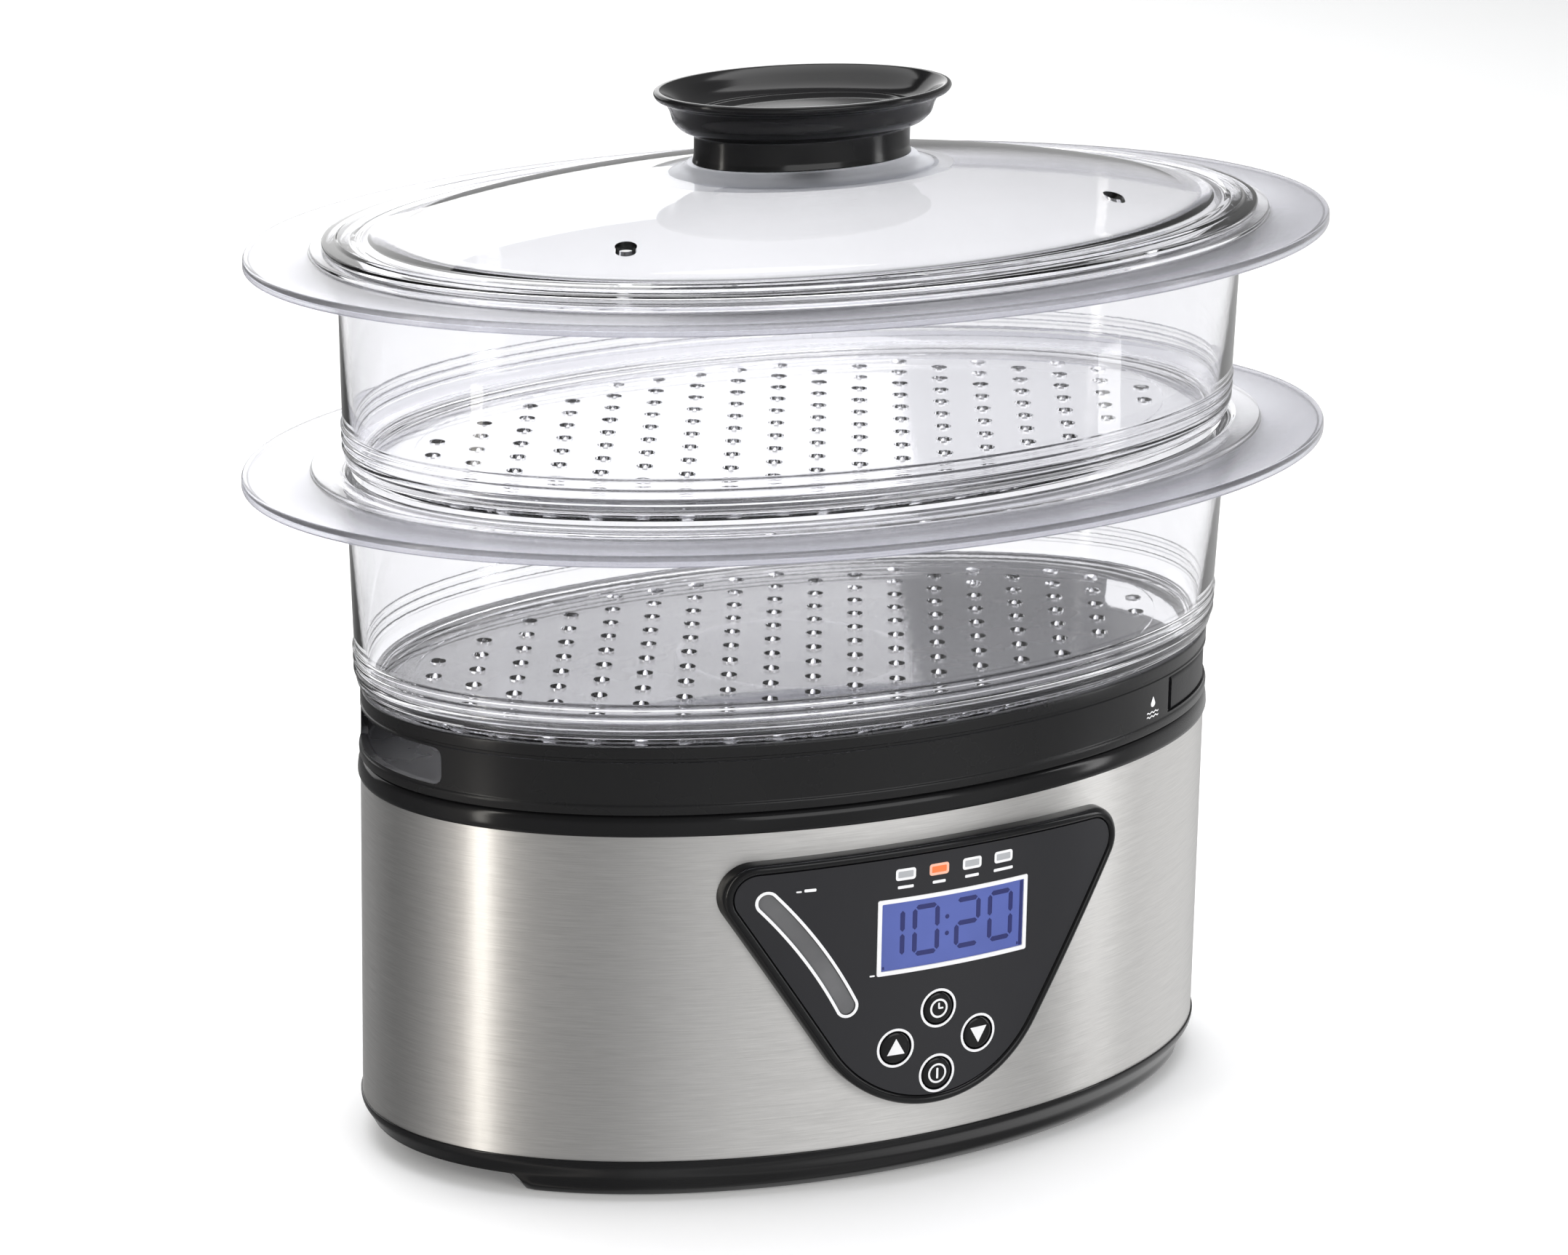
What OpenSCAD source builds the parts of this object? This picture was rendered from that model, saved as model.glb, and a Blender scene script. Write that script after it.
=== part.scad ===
// Two-tier oval food steamer: a base with a water tub, heater and timer panel, a drip tray,
// two stacking clear bowls and a clear lid. Frame: +X along the length, front faces -Y,
// origin on the floor under the middle of the base. All outlines are ovals about that axis.

/* [Base] */
// Length of the base outline, end to end
body_l = 280; // [255:1:340]
// Width of the base outline, front to back
body_w = 173; // [160:1:208]
// Height of the two foot skirts under the bottom cover
foot_h = 5.5; // [4:0.5:8]
// Floor to the lower edge of the steel skin
skin_z = 13; // [11:0.5:16]
// Height of the steel skin
skin_h = 101; // [98:1:121]
// Thickness of the steel skin
skin_t = 0.6; // [0.4:0.1:1]
// Wall of the base housing
wall_t = 2.4; // [1.8:0.1:3]
// Height of the black rim above the steel skin
rim_h = 6.5; // [6:0.5:9]

/* [Water tub and heater] */
// Length of the water tub, outside
tub_l = 252; // [220:1:256]
// Width of the water tub, outside
tub_w = 122; // [110:1:126]
// Wall of the water tub
tub_t = 2.2; // [1.6:0.1:3]
// Floor to the underside of the water tub
tub_z = 36; // [34:1:50]
// Diameter of the heater plate
heater_d = 92; // [80:1:100]
// Height of the steam ring that stands round the heater
steam_ring_h = 44; // [30:1:60]
// Diameter of the power cord's gland
gland_d = 12; // [9:1:16]
// Height of the gland's middle above the steel skin's lower edge
gland_up = 12; // [10:0.5:13]

/* [Drip tray] */
// Height of the drip tray's skirt
tray_h = 20.5; // [18:0.5:28]
// Wall of the drip tray
tray_t = 2.2; // [1.6:0.1:3]
// Width of the pouring window in each end of the skirt
window_w = 55; // [40:1:60]
// Height of the pouring windows
window_h = 11.6; // [8:0.2:12]

/* [Bowls] */
// Height of the lower bowl, from its seat to its ledge
lower_h = 67.8; // [55:0.1:82]
// Height of the upper bowl, from its seat to its ledge
upper_h = 65.3; // [54:0.1:80]
// Wall of both bowls
bowl_t = 2; // [1.6:0.1:2.6]
// Reach of the carrying flange past the base outline at the two ends
flange_x = 35; // [28:1:45]
// Reach of the carrying flange past the base outline at front and back
flange_y = 31; // [26:1:40]
// Diameter of a steam hole in a bowl's floor
hole_d = 5; // [3:0.5:7]

/* [Lid] */
// Rise of the lid's dome above its rim
dome_h = 15.5; // [10:0.5:22]
// Length of the knob's dish
knob_l = 95; // [80:1:110]
// Height of the knob above the lid
knob_h = 21.5; // [19:0.5:28]

/* [Panel] */
// How far the control panel stands out from the steel skin
panel_t = 5; // [4.6:0.1:7]
// Diameter of the four button caps
button_d = 9.8; // [8:0.1:11]
// Length of the display's frame
lcd_l = 52; // [44:1:54]
// Height of the display's frame
lcd_h = 23.6; // [18:0.2:24]
// How far a button travels
button_travel = 1; // [0.6:0.1:1]

/* [Fit] */
// Running clearance round a moving button
gap = 0.3; // [0.2:0.05:0.4]
// Clearance where a piece nests inside the one below
nest = 1.2; // [0.8:0.1:1.6]

/* [Hidden] */
$fn = 96;
A = body_l / 2;
B = body_w / 2;
skin_top = skin_z + skin_h;
rim_z = skin_top + rim_h;
tray_z = rim_z + tray_h;
ledge1_z = tray_z + lower_h;
ledge2_z = ledge1_z + upper_h;
inner_d = -skin_t - wall_t;

// outline offsets of the bowl walls from the base outline
lower_d = 3;
upper_d = 5;
skirt_h = 5;
ledge_d = 14.2;
ledge_t = 2;
step_h = 1.5;
lip_h = 3.4;
lid_rim_d = 10.5;
dome_edge_d = -3;

tub_a = tub_l / 2;
tub_b = tub_w / 2;
tub_floor = tub_z + tub_t;
tub_seat_z = skin_top - 3;
flange_t = 2.5;

gasket_t = 1.5;
plate_z = tub_floor + gasket_t;
heater_body_d = 58;
heater_body_z = tub_z - 8;
element_r = 22;
element_d = 7;
clamp_t = 2.5;
stud_r = heater_d / 2 - 6;

cover_t = 2.2;
board_z = foot_h + cover_t + 6;

// panel outline: two upper lobes and one large round bottom
lobe_x = 57.2;
lobe_r = 10.2;
lobe_z = skin_top - 18.8;
belly_r = 42.8;
belly_z = lobe_z - 28.4;
crown_h = 1;
face_in = 3;
shelf_in = 2.5;
face_back = panel_t - 1.8;
face_top = panel_t - 0.8;
lcd_x = 5;
lcd_z = lobe_z - 16.2;
delay_at = [0, lobe_z - 41];
up_at = [-14.2, lobe_z - 51.4];
down_at = [14.2, lobe_z - 51.4];
power_at = [0, lobe_z - 61.6];
light_z = lobe_z + 2.8;
light_xs = [-12, -0.6, 10.7, 22];
light_size = [6.2, 3.4];
gauge_top = [-54.8, lobe_z - 1.5];
gauge_end = [-30.2, lobe_z - 36];
gauge_r = 2.3;
board_y = -(B - 15);
board_t = 1.6;
switch_t = 2.2;
boss_xz = [[-21, lobe_z + 2], [31, lobe_z + 2], [-24, lobe_z - 37], [33, lobe_z - 37]];
collar_y = -(B - 2);
stem_end = board_y - board_t - switch_t - button_travel - 0.2;

knob_a = knob_l / 2;
knob_b = knob_a - 14.8;
lid_rim_z = ledge2_z;
lid_top_z = lid_rim_z + ledge_t + dome_h;
seat_z = lid_top_z + 2;
neck_a = knob_a - 12.4;
neck_b = neck_a * knob_b / knob_a;
boss_z = lid_top_z - 5;

// the pouring windows, and the fill spout's two ends
window_z = rim_z + 4;
spout_x0 = A * 0.685;
spout_x1 = A * 0.9;

// the black rim's reach past the steel skin, and the cover's lap inside it
rim_d = 0.6;
lap_h = 3.4;
foot_in = -18;
foot_out = -5;
pad_d = -12;
pad_h = 2;
lip_in = 3.5;

// the cover screws' bosses, and how far they stand in from the outline
boss_d = -7;
screw_ts = [36, 68, 112, 144, 216, 270, 324];
pad_ts = [50, 130, 230, 310];

// ---- shapes shared by several sub-parts ----
// upright oval prism with half axes a and b
module oval(a, b, z0, z1) {
    translate([0, 0, z0]) scale([1, b / a, 1]) cylinder(r = a, h = z1 - z0);
}
// oval prism at the base outline grown by d
module slab(d, z0, z1) { oval(A + d, B + d, z0, z1); }
module band(d0, d1, z0, z1) {
    difference() { slab(d1, z0, z1); slab(d0, z0 - 1, z1 + 1); }
}
// oval prism with many narrow flats, for shells with large cut-outs
module flat_oval(a, b, z0, z1) {
    translate([0, 0, z0]) linear_extrude(z1 - z0)
        polygon([for (i = [0 : 95]) [a * cos(i * 3.75), b * sin(i * 3.75)]]);
}
module shell(d, z0, z1) { flat_oval(A + d, B + d, z0, z1); }
module shell_band(d0, d1, z0, z1) {
    difference() { shell(d1, z0, z1); shell(d0, z0 - 1, z1 + 1); }
}
module disc(d, z0, z1) { translate([0, 0, z0]) cylinder(d = d, h = z1 - z0); }
// rod along -Y, from y0 outwards by h
module rod(at, d, y0, h) { translate([at[0], y0, at[1]]) rotate([90, 0, 0]) cylinder(d = d, h = h); }
// rod from y0 out to y1, which is nearer the front
module post(at, d, y0, y1) { rod(at, d, y0, y0 - y1); }
// 2-D outline in x and z, made solid along -Y
module forward(y0, h) { translate([0, y0, 0]) rotate([90, 0, 0]) linear_extrude(h) children(); }
module wire(p, q, d) {
    v = q - p;
    l = norm(v);
    translate(p) rotate([0, acos(v[2] / l), atan2(v[1], v[0])]) cylinder(d = d, h = l, $fn = 16);
}
function on_outline(d, t) = [(A + d) * cos(t), (B + d) * sin(t), 0];

// ---- base ----
module foot_skirt(side) {
    intersection() {
        shell_band(foot_in, foot_out, pad_h * 0.4, foot_h + 0.5);
        translate([-A * 0.81, side > 0 ? 0 : -B, 0]) cube([A * 1.62, B, foot_h + 0.5]);
    }
}
module bottom_cover() color([0.09, 0.09, 0.1]) {
    difference() {
        union() {
            shell(-2.4, foot_h, foot_h + cover_t);
            shell(rim_d, foot_h + cover_t, skin_z);
        }
        shell(inner_d - 1.6, foot_h + cover_t, skin_z + 1);
        shell(-skin_t + 0.1, skin_z - lap_h, skin_z + 1);
        for (t = screw_ts) translate(on_outline(boss_d, t)) disc(4.2, 0, skin_z);
    }
    for (side = [-1, 1]) difference() {
        foot_skirt(side);
        for (t = screw_ts) translate(on_outline(boss_d, t)) disc(8.4, 0, foot_h + 1);
        for (t = pad_ts) translate(on_outline(pad_d, t)) disc(8, 0, pad_h);
    }
    for (x = [-45, 45], y = [14, 54]) translate([x, y, 0]) difference() {
        disc(7, foot_h + cover_t - 0.5, board_z);
        disc(2.4, foot_h + cover_t, board_z + 1);
    }
}
module rubber_feet() color([0.2, 0.2, 0.2]) {
    for (t = pad_ts) translate(on_outline(pad_d, t)) disc(8, 0, pad_h);
}
module cover_screws() color([0.7, 0.7, 0.72]) {
    for (t = screw_ts) translate(on_outline(boss_d, t)) {
        disc(7, foot_h - 2.2, foot_h);
        disc(3.4, foot_h, foot_h + 14);
    }
}
module base_housing() color([0.07, 0.07, 0.08]) {
    difference() {
        union() {
            difference() {
                union() {
                    shell(-skin_t, skin_z - lap_h, skin_top);
                    shell(rim_d, skin_top, rim_z);
                }
                shell(inner_d, 0, rim_z + 1);
            }
            shell_band(inner_d - lip_in, inner_d + 0.5, tub_seat_z - 3, tub_seat_z);
            for (t = screw_ts) translate(on_outline(boss_d, t)) disc(9, skin_z - lap_h, foot_h + 24);
        }
        for (t = screw_ts) translate(on_outline(boss_d, t)) disc(3.4, 0, foot_h + 18);
        forward(-B + 25, 40) panel_outline(shelf_in);
        rod([0, skin_z + gland_up], gland_d, B + 10, 30);
    }
}
module steel_skin() color([0.75, 0.74, 0.72]) {
    difference() {
        shell(0, skin_z, skin_top);
        shell(-skin_t, skin_z - 1, skin_top + 1);
        forward(-B + 25, 40) panel_outline(shelf_in);
        rod([0, skin_z + gland_up], gland_d + 0.6, B + 10, 30);
    }
}
module cord_gland() color([0.05, 0.05, 0.05]) {
    difference() {
        union() {
            rod([0, skin_z + gland_up], gland_d, B + 5, 12);
            rod([0, skin_z + gland_up], gland_d + 5, B + 5, 5);
        }
        rod([0, skin_z + gland_up], gland_d - 5, B + 8, 20);
    }
}

// ---- water tub and heater ----
module water_tub() color([0.16, 0.16, 0.17]) {
    difference() {
        union() {
            oval(tub_a, tub_b, tub_z, tub_seat_z + 1);
            slab(inner_d - 0.4, tub_seat_z, tub_seat_z + flange_t);
        }
        oval(tub_a - tub_t, tub_b - tub_t, tub_floor, rim_z);
        disc(heater_body_d + 1, tub_z - 1, tub_floor + 1);
        for (t = [30, 150, 270]) rotate(t) translate([stud_r, 0, 0]) disc(4.4, tub_z - 1, tub_floor + 1);
        rod(gauge_end + [0, 1], 5, 0, B);
    }
}
module steam_ring() color([0.2, 0.2, 0.21]) {
    difference() {
        union() {
            disc(heater_d + 10, tub_floor, tub_floor + steam_ring_h);
            disc(heater_d + 16, tub_floor, tub_floor + 3);
        }
        disc(heater_d + 5.6, tub_floor - 1, tub_floor + steam_ring_h + 1);
        for (t = [0, 60, 120]) rotate(t)
            translate([-heater_d, -6, tub_floor - 1]) cube([2 * heater_d, 12, 7]);
    }
}
module heater_gasket() color([0.75, 0.3, 0.2]) {
    difference() {
        disc(heater_d - 2, tub_floor, plate_z);
        disc(heater_body_d + 4, 0, plate_z + 1);
        for (t = [30, 150, 270]) rotate(t) translate([stud_r, 0, 0]) disc(4.4, 0, plate_z + 1);
    }
}
module heater_plate() color([0.8, 0.8, 0.8]) {
    disc(heater_d, plate_z, plate_z + 1.6);
    disc(heater_d - 30, plate_z + 1.6, plate_z + 3.2);
}
module heater_body() color([0.65, 0.66, 0.68]) disc(heater_body_d, heater_body_z, plate_z);
module heating_element() color([0.45, 0.42, 0.4]) {
    z = heater_body_z - element_d / 2;
    rotate_extrude(angle = 320) translate([element_r, z]) circle(d = element_d, $fn = 32);
    for (t = [0, 320]) rotate(t) translate([element_r, 0, z]) rotate([t == 0 ? 90 : -90, 0, 0])
        cylinder(d = 3, h = 5, $fn = 24);
}
module heater_clamp() color([0.7, 0.7, 0.7]) {
    difference() {
        disc(heater_d, tub_z - clamp_t, tub_z);
        disc(heater_body_d + 1, 0, tub_z + 1);
        for (t = [30, 150, 270]) rotate(t) translate([stud_r, 0, 0]) disc(4.4, 0, tub_z + 1);
    }
}
module heater_screws() color([0.78, 0.76, 0.7]) {
    for (t = [30, 150, 270]) rotate(t) translate([stud_r, 0, 0]) {
        disc(4, tub_z - clamp_t, plate_z);
        disc(7, tub_z - clamp_t - 2.4, tub_z - clamp_t);
    }
}
module thermostat() color([0.3, 0.28, 0.26]) {
    disc(16, heater_body_z - 6, heater_body_z);
    for (x = [-4, 4]) translate([x - 0.4, -2, heater_body_z - 12]) cube([0.8, 4, 6]);
}
module thermal_fuse() color([0.85, 0.82, 0.75]) {
    translate([-8, 37, tub_z - clamp_t - 2]) rotate([0, 90, 0]) cylinder(d = 4, h = 16, $fn = 24);
}
module heater_leads() color([0.7, 0.15, 0.1]) {
    for (x = [-22, 22]) {
        wire([x, 26, board_z + 9], [x, 30, tub_z - clamp_t - 5], 2.2);
        wire([x, 30, tub_z - clamp_t - 5.6], [x, 44, board_z + 9], 2.2);
    }
}

// ---- power electronics on the bottom cover ----
module power_board() color([0.1, 0.35, 0.18]) {
    difference() {
        translate([-50, 9, board_z]) cube([100, 50, board_t]);
        for (x = [-45, 45], y = [14, 54]) translate([x, y, 0]) disc(3.2, 0, board_z + 5);
    }
}
module power_relay() color([0.1, 0.2, 0.55])
    translate([-42, 28, board_z + board_t]) cube([17, 15, 11]);
module power_transformer() color([0.75, 0.65, 0.25])
    translate([26, 26, board_z + board_t]) cube([16, 18, 10]);
module terminal_block() color([0.2, 0.5, 0.25])
    translate([-12, 46, board_z + board_t]) cube([24, 9, 10]);
module power_board_screws() color([0.75, 0.75, 0.77]) {
    for (x = [-45, 45], y = [14, 54]) translate([x, y, 0]) {
        disc(5.4, board_z + board_t, board_z + board_t + 1.8);
        disc(2.4, foot_h + cover_t + 0.4, board_z + board_t);
    }
}

// ---- control panel ----
function arc(c, r, t0, t1, n) = [for (i = [0 : n]) let (t = t0 + (t1 - t0) * i / n)
    [c[0] + r * cos(t), c[1] + r * sin(t)]];
module panel_outline(inset) {
    dist = norm([lobe_x, lobe_z - belly_z]);
    lean = atan2(lobe_z - belly_z, lobe_x) + asin((belly_r - lobe_r) / dist);
    top = lobe_z + lobe_r - inset;
    polygon(concat(
        arc([0, belly_z], belly_r - inset, -90 - lean, lean - 90, 28),
        arc([lobe_x, lobe_z], lobe_r - inset, lean - 90, 88, 12),
        [[lobe_x / 2, top + crown_h * 0.75], [0, top + crown_h], [-lobe_x / 2, top + crown_h * 0.75]],
        arc([-lobe_x, lobe_z], lobe_r - inset, 92, 270 - lean, 12)));
}
module slot(r) {
    v = gauge_end - gauge_top;
    for (p = [gauge_top, gauge_end]) translate(p) circle(r = r, $fn = 40);
    translate(gauge_top) rotate(atan2(v[1], v[0])) translate([0, -r]) square([norm(v), 2 * r]);
}
module lcd_rect(grow) {
    translate([lcd_x - lcd_l / 2 - grow, lcd_z - lcd_h / 2 - grow])
        square([lcd_l + 2 * grow, lcd_h + 2 * grow]);
}
module face_holes() {
    lcd_rect(0);
    slot(gauge_r + 0.9);
    for (x = light_xs) translate([x - light_size[0] / 2, light_z - light_size[1] / 2]) square(light_size);
    for (p = [delay_at, up_at, down_at, power_at]) translate(p) circle(d = button_d + 2 * gap);
}
module between(d0, d1) { shell_band(d0, d1, 0, rim_z); }
module panel_housing() color([0.06, 0.06, 0.07]) {
    difference() {
        intersection() {
            forward(-B + 30, 50) panel_outline(0);
            between(0, panel_t);
        }
        intersection() {
            forward(-B + 30, 50) panel_outline(face_in);
            between(face_back, panel_t + 4);
        }
        forward(-B + 25, 50) face_holes();
    }
    difference() {
        intersection() {
            forward(-B + 30, 50) panel_outline(shelf_in + gap);
            between(-7, 0.01);
        }
        forward(-B + 40, 60) panel_outline(shelf_in + gap + 1.6);
        rod(power_at, button_d + 3.2, -B + 20, 18);
    }
    for (p = boss_xz) difference() {
        post(p, 5, board_y - board_t, -B - 0.6);
        rod(p, 2.2, board_y, 10);
    }
}
module panel_fascia() color([0.24, 0.24, 0.26]) {
    difference() {
        intersection() {
            forward(-B + 30, 50) panel_outline(face_in + 0.15);
            between(face_back, face_top);
        }
        forward(-B + 25, 50) face_holes();
    }
}
module lcd_frame() color([0.92, 0.92, 0.92]) {
    difference() {
        intersection() {
            forward(-B + 30, 50) lcd_rect(0);
            between(face_back - 2, face_top + 0.3);
        }
        forward(-B + 30, 60) lcd_rect(-1.3);
    }
}
module lcd_lens() color([0.4, 0.45, 0.85]) {
    intersection() {
        forward(-B + 30, 50) lcd_rect(-1.3);
        between(face_back - 1, face_top);
    }
}
module lcd_module() color([0.3, 0.32, 0.35]) {
    y = board_y - board_t;
    translate([lcd_x - lcd_l / 2 + 2, y - 9, lcd_z - lcd_h / 2 + 2]) cube([lcd_l - 4, 9, lcd_h - 4]);
}
module light_pipe(x) {
    intersection() {
        forward(-B + 8, 30)
            translate([x - light_size[0] / 2, light_z - light_size[1] / 2]) square(light_size);
        shell(face_top + 0.3, 0, rim_z);
    }
}
module status_lights() color([0.8, 0.8, 0.8]) { for (i = [0, 2, 3]) light_pipe(light_xs[i]); }
module cook_light() color([0.95, 0.4, 0.2]) light_pipe(light_xs[1]);
module level_window() color([0.7, 0.72, 0.75, 0.5]) {
    intersection() {
        forward(-B + 30, 50) slot(gauge_r + 0.9);
        between(face_back - 1.2, face_top);
    }
}
module level_chamber() color([0.8, 0.82, 0.85, 0.5]) {
    difference() {
        intersection() {
            forward(-B + 30, 50) slot(gauge_r + 0.9);
            translate([-A, -B + 8, 0]) mirror([0, 1, 0]) cube([body_l, 30, rim_z]);
            shell(face_back - 1.2, 0, rim_z);
        }
        intersection() {
            forward(-B + 6.6, 50) slot(gauge_r - 0.6);
            shell(face_back - 2.2, 0, rim_z);
        }
        rod(gauge_end + [0, 1], 3, -B + 20, 14);
    }
}
module level_hose() color([0.6, 0.6, 0.6]) {
    difference() {
        rod(gauge_end + [0, 1], 4.8, -tub_b * 0.9, B - 8 - tub_b * 0.9);
        rod(gauge_end + [0, 1], 2.8, -tub_b * 0.5, B);
    }
}
module control_board() color([0.1, 0.35, 0.18]) {
    difference() {
        forward(board_y, board_t) {
            translate([-27, lobe_z - 42]) square([65, 49]);
            translate([-19, lobe_z - 68]) square([38, 27]);
        }
        for (p = boss_xz) rod(p, 2.8, 0, B);
    }
}
module tact_switches() color([0.15, 0.15, 0.16]) {
    for (p = [delay_at, up_at, down_at, power_at]) {
        translate([p[0] - 3, board_y - board_t - switch_t + 0.6, p[1] - 3]) cube([6, switch_t - 0.6, 6]);
        rod(p, 3, board_y - board_t - switch_t + 0.6, 0.6);
    }
}
module control_board_screws() color([0.75, 0.75, 0.77]) {
    for (p = boss_xz) {
        rod(p, 5, board_y + 1.6, 1.6);
        rod(p, 2.2, board_y, 9);
    }
}
module button_cap(p) {
    post(p, 3.6, stem_end, collar_y - 0.5);
    rod(p, button_d + 2.4, collar_y + 1.4, 1.4);
    intersection() {
        rod(p, button_d, collar_y, 12);
        shell(face_top + 0.2, 0, rim_z);
    }
}
module delay_button() color([0.1, 0.1, 0.11]) button_cap(delay_at);
module up_button() color([0.1, 0.1, 0.11]) button_cap(up_at);
module down_button() color([0.1, 0.1, 0.11]) button_cap(down_at);
module power_button() color([0.1, 0.1, 0.11]) button_cap(power_at);

// ---- drip tray ----
module drip_tray() color([0.1, 0.1, 0.11]) {
    difference() {
        union() {
            band(-tray_t, 0, rim_z, tray_z);
            slab(-tray_t + 0.5, rim_z + 1, rim_z + 1 + tray_t);
            band(inner_d - 2.4, inner_d - 0.6, rim_z - 4.5, rim_z + 1.5);
            disc(72, rim_z + 1, tray_z - 5);
        }
        disc(67.6, rim_z - 10, tray_z);
        translate([-A - 5, -window_w / 2, window_z]) cube([25, window_w, window_h]);
        translate([spout_x0, -B, window_z]) cube([A, B + window_w / 2, window_h]);
        for (side = [-1, 1]) translate([side > 0 ? A - 16 : -A + 8, -14, rim_z - 6]) cube([8, 28, 12]);
    }
}
module fill_spout() color([0.12, 0.12, 0.13]) {
    z0 = rim_z + 1 + tray_t;
    difference() {
        intersection() {
            band(-15, -tray_t - 0.4, z0, window_z + window_h - 0.4);
            translate([spout_x0 + 3, -B, 0]) cube([spout_x1 - spout_x0, B - 34, tray_z]);
        }
        intersection() {
            band(-13, -tray_t - 2.4, z0 + 2, tray_z);
            translate([spout_x0 + 5, -B, 0]) cube([spout_x1 - spout_x0 - 4, B - 36, tray_z]);
        }
    }
}

// ---- bowls and lid ----
module floor_holes(reach) {
    pitch = 17;
    for (i = [-8 : 8], j = [-5 : 5]) {
        p = [(i + (j % 2 == 0 ? 0 : 0.5)) * pitch, j * pitch * 0.87];
        if (pow(p[0] / (A - reach), 2) + pow(p[1] / (B - reach), 2) < 1)
            translate(p) circle(d = hole_d, $fn = 24);
    }
}
// wall_d: the wall's offset; skirt_d: outside of the skirt that drops into the piece below
module bowl(z0, h, wall_d, skirt_d) {
    top = z0 + h;
    fl = top - step_h;
    difference() {
        union() {
            shell(wall_d - 1.4, z0, z0 + 1.4);
            shell(wall_d, z0 + 1.4, top - 1);
            shell(ledge_d, top - ledge_t, top);
            flat_oval(A + flange_x, B + flange_y, fl - ledge_t, fl);
            difference() {
                flat_oval(A + flange_x, B + flange_y, fl - lip_h, fl);
                flat_oval(A + flange_x - 2, B + flange_y - 2, fl - lip_h - 1, fl);
            }
        }
        shell(wall_d - bowl_t, z0 + bowl_t, top + 0.5);
        translate([0, 0, z0 - 1]) linear_extrude(bowl_t + 2) floor_holes(14);
    }
    shell_band(skirt_d - bowl_t, skirt_d, z0 - skirt_h, z0 + 0.5);
}
module lower_bowl() color([0.85, 0.87, 0.9, 0.4])
    bowl(tray_z, lower_h, lower_d, -tray_t - nest);
module upper_bowl() color([0.85, 0.87, 0.9, 0.4])
    bowl(ledge1_z, upper_h, upper_d, lower_d - bowl_t - nest);
module dome(grow) {
    n = 10;
    r = A + dome_edge_d + grow;
    scale([1, (B + dome_edge_d + grow) / r, 1]) rotate_extrude() polygon(concat(
        [[0, lid_rim_z - 1 + grow]],
        [for (i = [0 : n]) let (t = 1 - i / n)
            [r * t, lid_rim_z + ledge_t + grow + dome_h * (1 - pow(t, 2.4))]]));
}
module lid() color([0.85, 0.87, 0.9, 0.35]) {
    skirt = upper_d - bowl_t - nest;
    difference() {
        union() {
            slab(lid_rim_d, lid_rim_z, lid_rim_z + ledge_t);
            slab(skirt, lid_rim_z - skirt_h, lid_rim_z + 1);
            dome(0);
            oval(neck_a + 4, neck_b + 4, lid_rim_z + 4, seat_z);
        }
        slab(skirt - 2, lid_rim_z - skirt_h - 1, lid_rim_z);
        difference() {
            dome(-2);
            disc(14, boss_z, seat_z);
        }
        difference() {
            oval(neck_a + 2, neck_b + 2, lid_rim_z, seat_z - 2);
            disc(14, boss_z, seat_z);
        }
        for (x = [-82, 82]) translate([x, -44, 0]) disc(6.4, lid_rim_z - 1, seat_z);
        disc(4.4, lid_rim_z - 10, seat_z + 1);
    }
}
module knob_seal() color([0.3, 0.3, 0.3]) {
    difference() { disc(13, boss_z - 1.2, boss_z); disc(4.4, boss_z - 3, boss_z + 3); }
}
module knob_screw() color([0.75, 0.75, 0.77]) {
    disc(8.5, boss_z - 4, boss_z - 1.2);
    disc(4, boss_z - 1.2, seat_z + 12);
}
// oval solid whose half length follows the outline ps, a list of [half length, z]
module turned(ps, k) {
    n = 64;
    last = len(ps) - 1;
    polyhedron(
        points = [for (p = ps, i = [0 : n - 1]) let (t = i * 360 / n)
            [p[0] * cos(t), k * p[0] * sin(t), p[1]]],
        faces = concat(
            [[for (i = [0 : n - 1]) i]],
            [[for (i = [n - 1 : -1 : 0]) last * n + i]],
            [for (j = [0 : last - 1], i = [0 : n - 1])
                [j * n + i, (j + 1) * n + i, (j + 1) * n + (i + 1) % n, j * n + (i + 1) % n]]));
}
// the dish, its rolled rim, the bulge under it and the hollow neck
module lid_knob() color([0.04, 0.04, 0.05]) {
    top = seat_z + knob_h;
    difference() {
        turned([
            [neck_a, seat_z], [neck_a, seat_z + 9], [knob_a - 10, seat_z + 9.6],
            [knob_a - 5.6, seat_z + 12.4], [knob_a - 3.2, top - 4.6], [knob_a - 2.4, top - 3.2],
            [knob_a - 0.6, top - 2.4], [knob_a, top - 1.3], [knob_a - 0.6, top - 0.3],
            [knob_a - 1.8, top], [knob_a - 4, top - 1], [knob_a - 9.5, top - 5.4],
            [knob_a - 17, top - 7.8]], knob_b / knob_a);
        difference() {
            flat_oval(neck_a - 2.4, neck_b - 2.4, seat_z - 1, seat_z + 8);
            disc(12, seat_z - 2, seat_z + 9);
        }
        disc(4, seat_z - 1, seat_z + 12);
    }
}

bottom_cover();
rubber_feet();
cover_screws();
base_housing();
steel_skin();
cord_gland();
water_tub();
steam_ring();
heater_gasket();
heater_plate();
heater_body();
heating_element();
heater_clamp();
heater_screws();
thermostat();
thermal_fuse();
heater_leads();
power_board();
power_relay();
power_transformer();
terminal_block();
power_board_screws();
panel_housing();
panel_fascia();
lcd_frame();
lcd_lens();
lcd_module();
status_lights();
cook_light();
level_window();
level_chamber();
level_hose();
control_board();
tact_switches();
control_board_screws();
delay_button();
up_button();
down_button();
power_button();
drip_tray();
fill_spout();
lower_bowl();
upper_bowl();
lid();
knob_seal();
knob_screw();
lid_knob();
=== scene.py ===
import math

import bpy
from mathutils import Matrix, Vector


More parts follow.
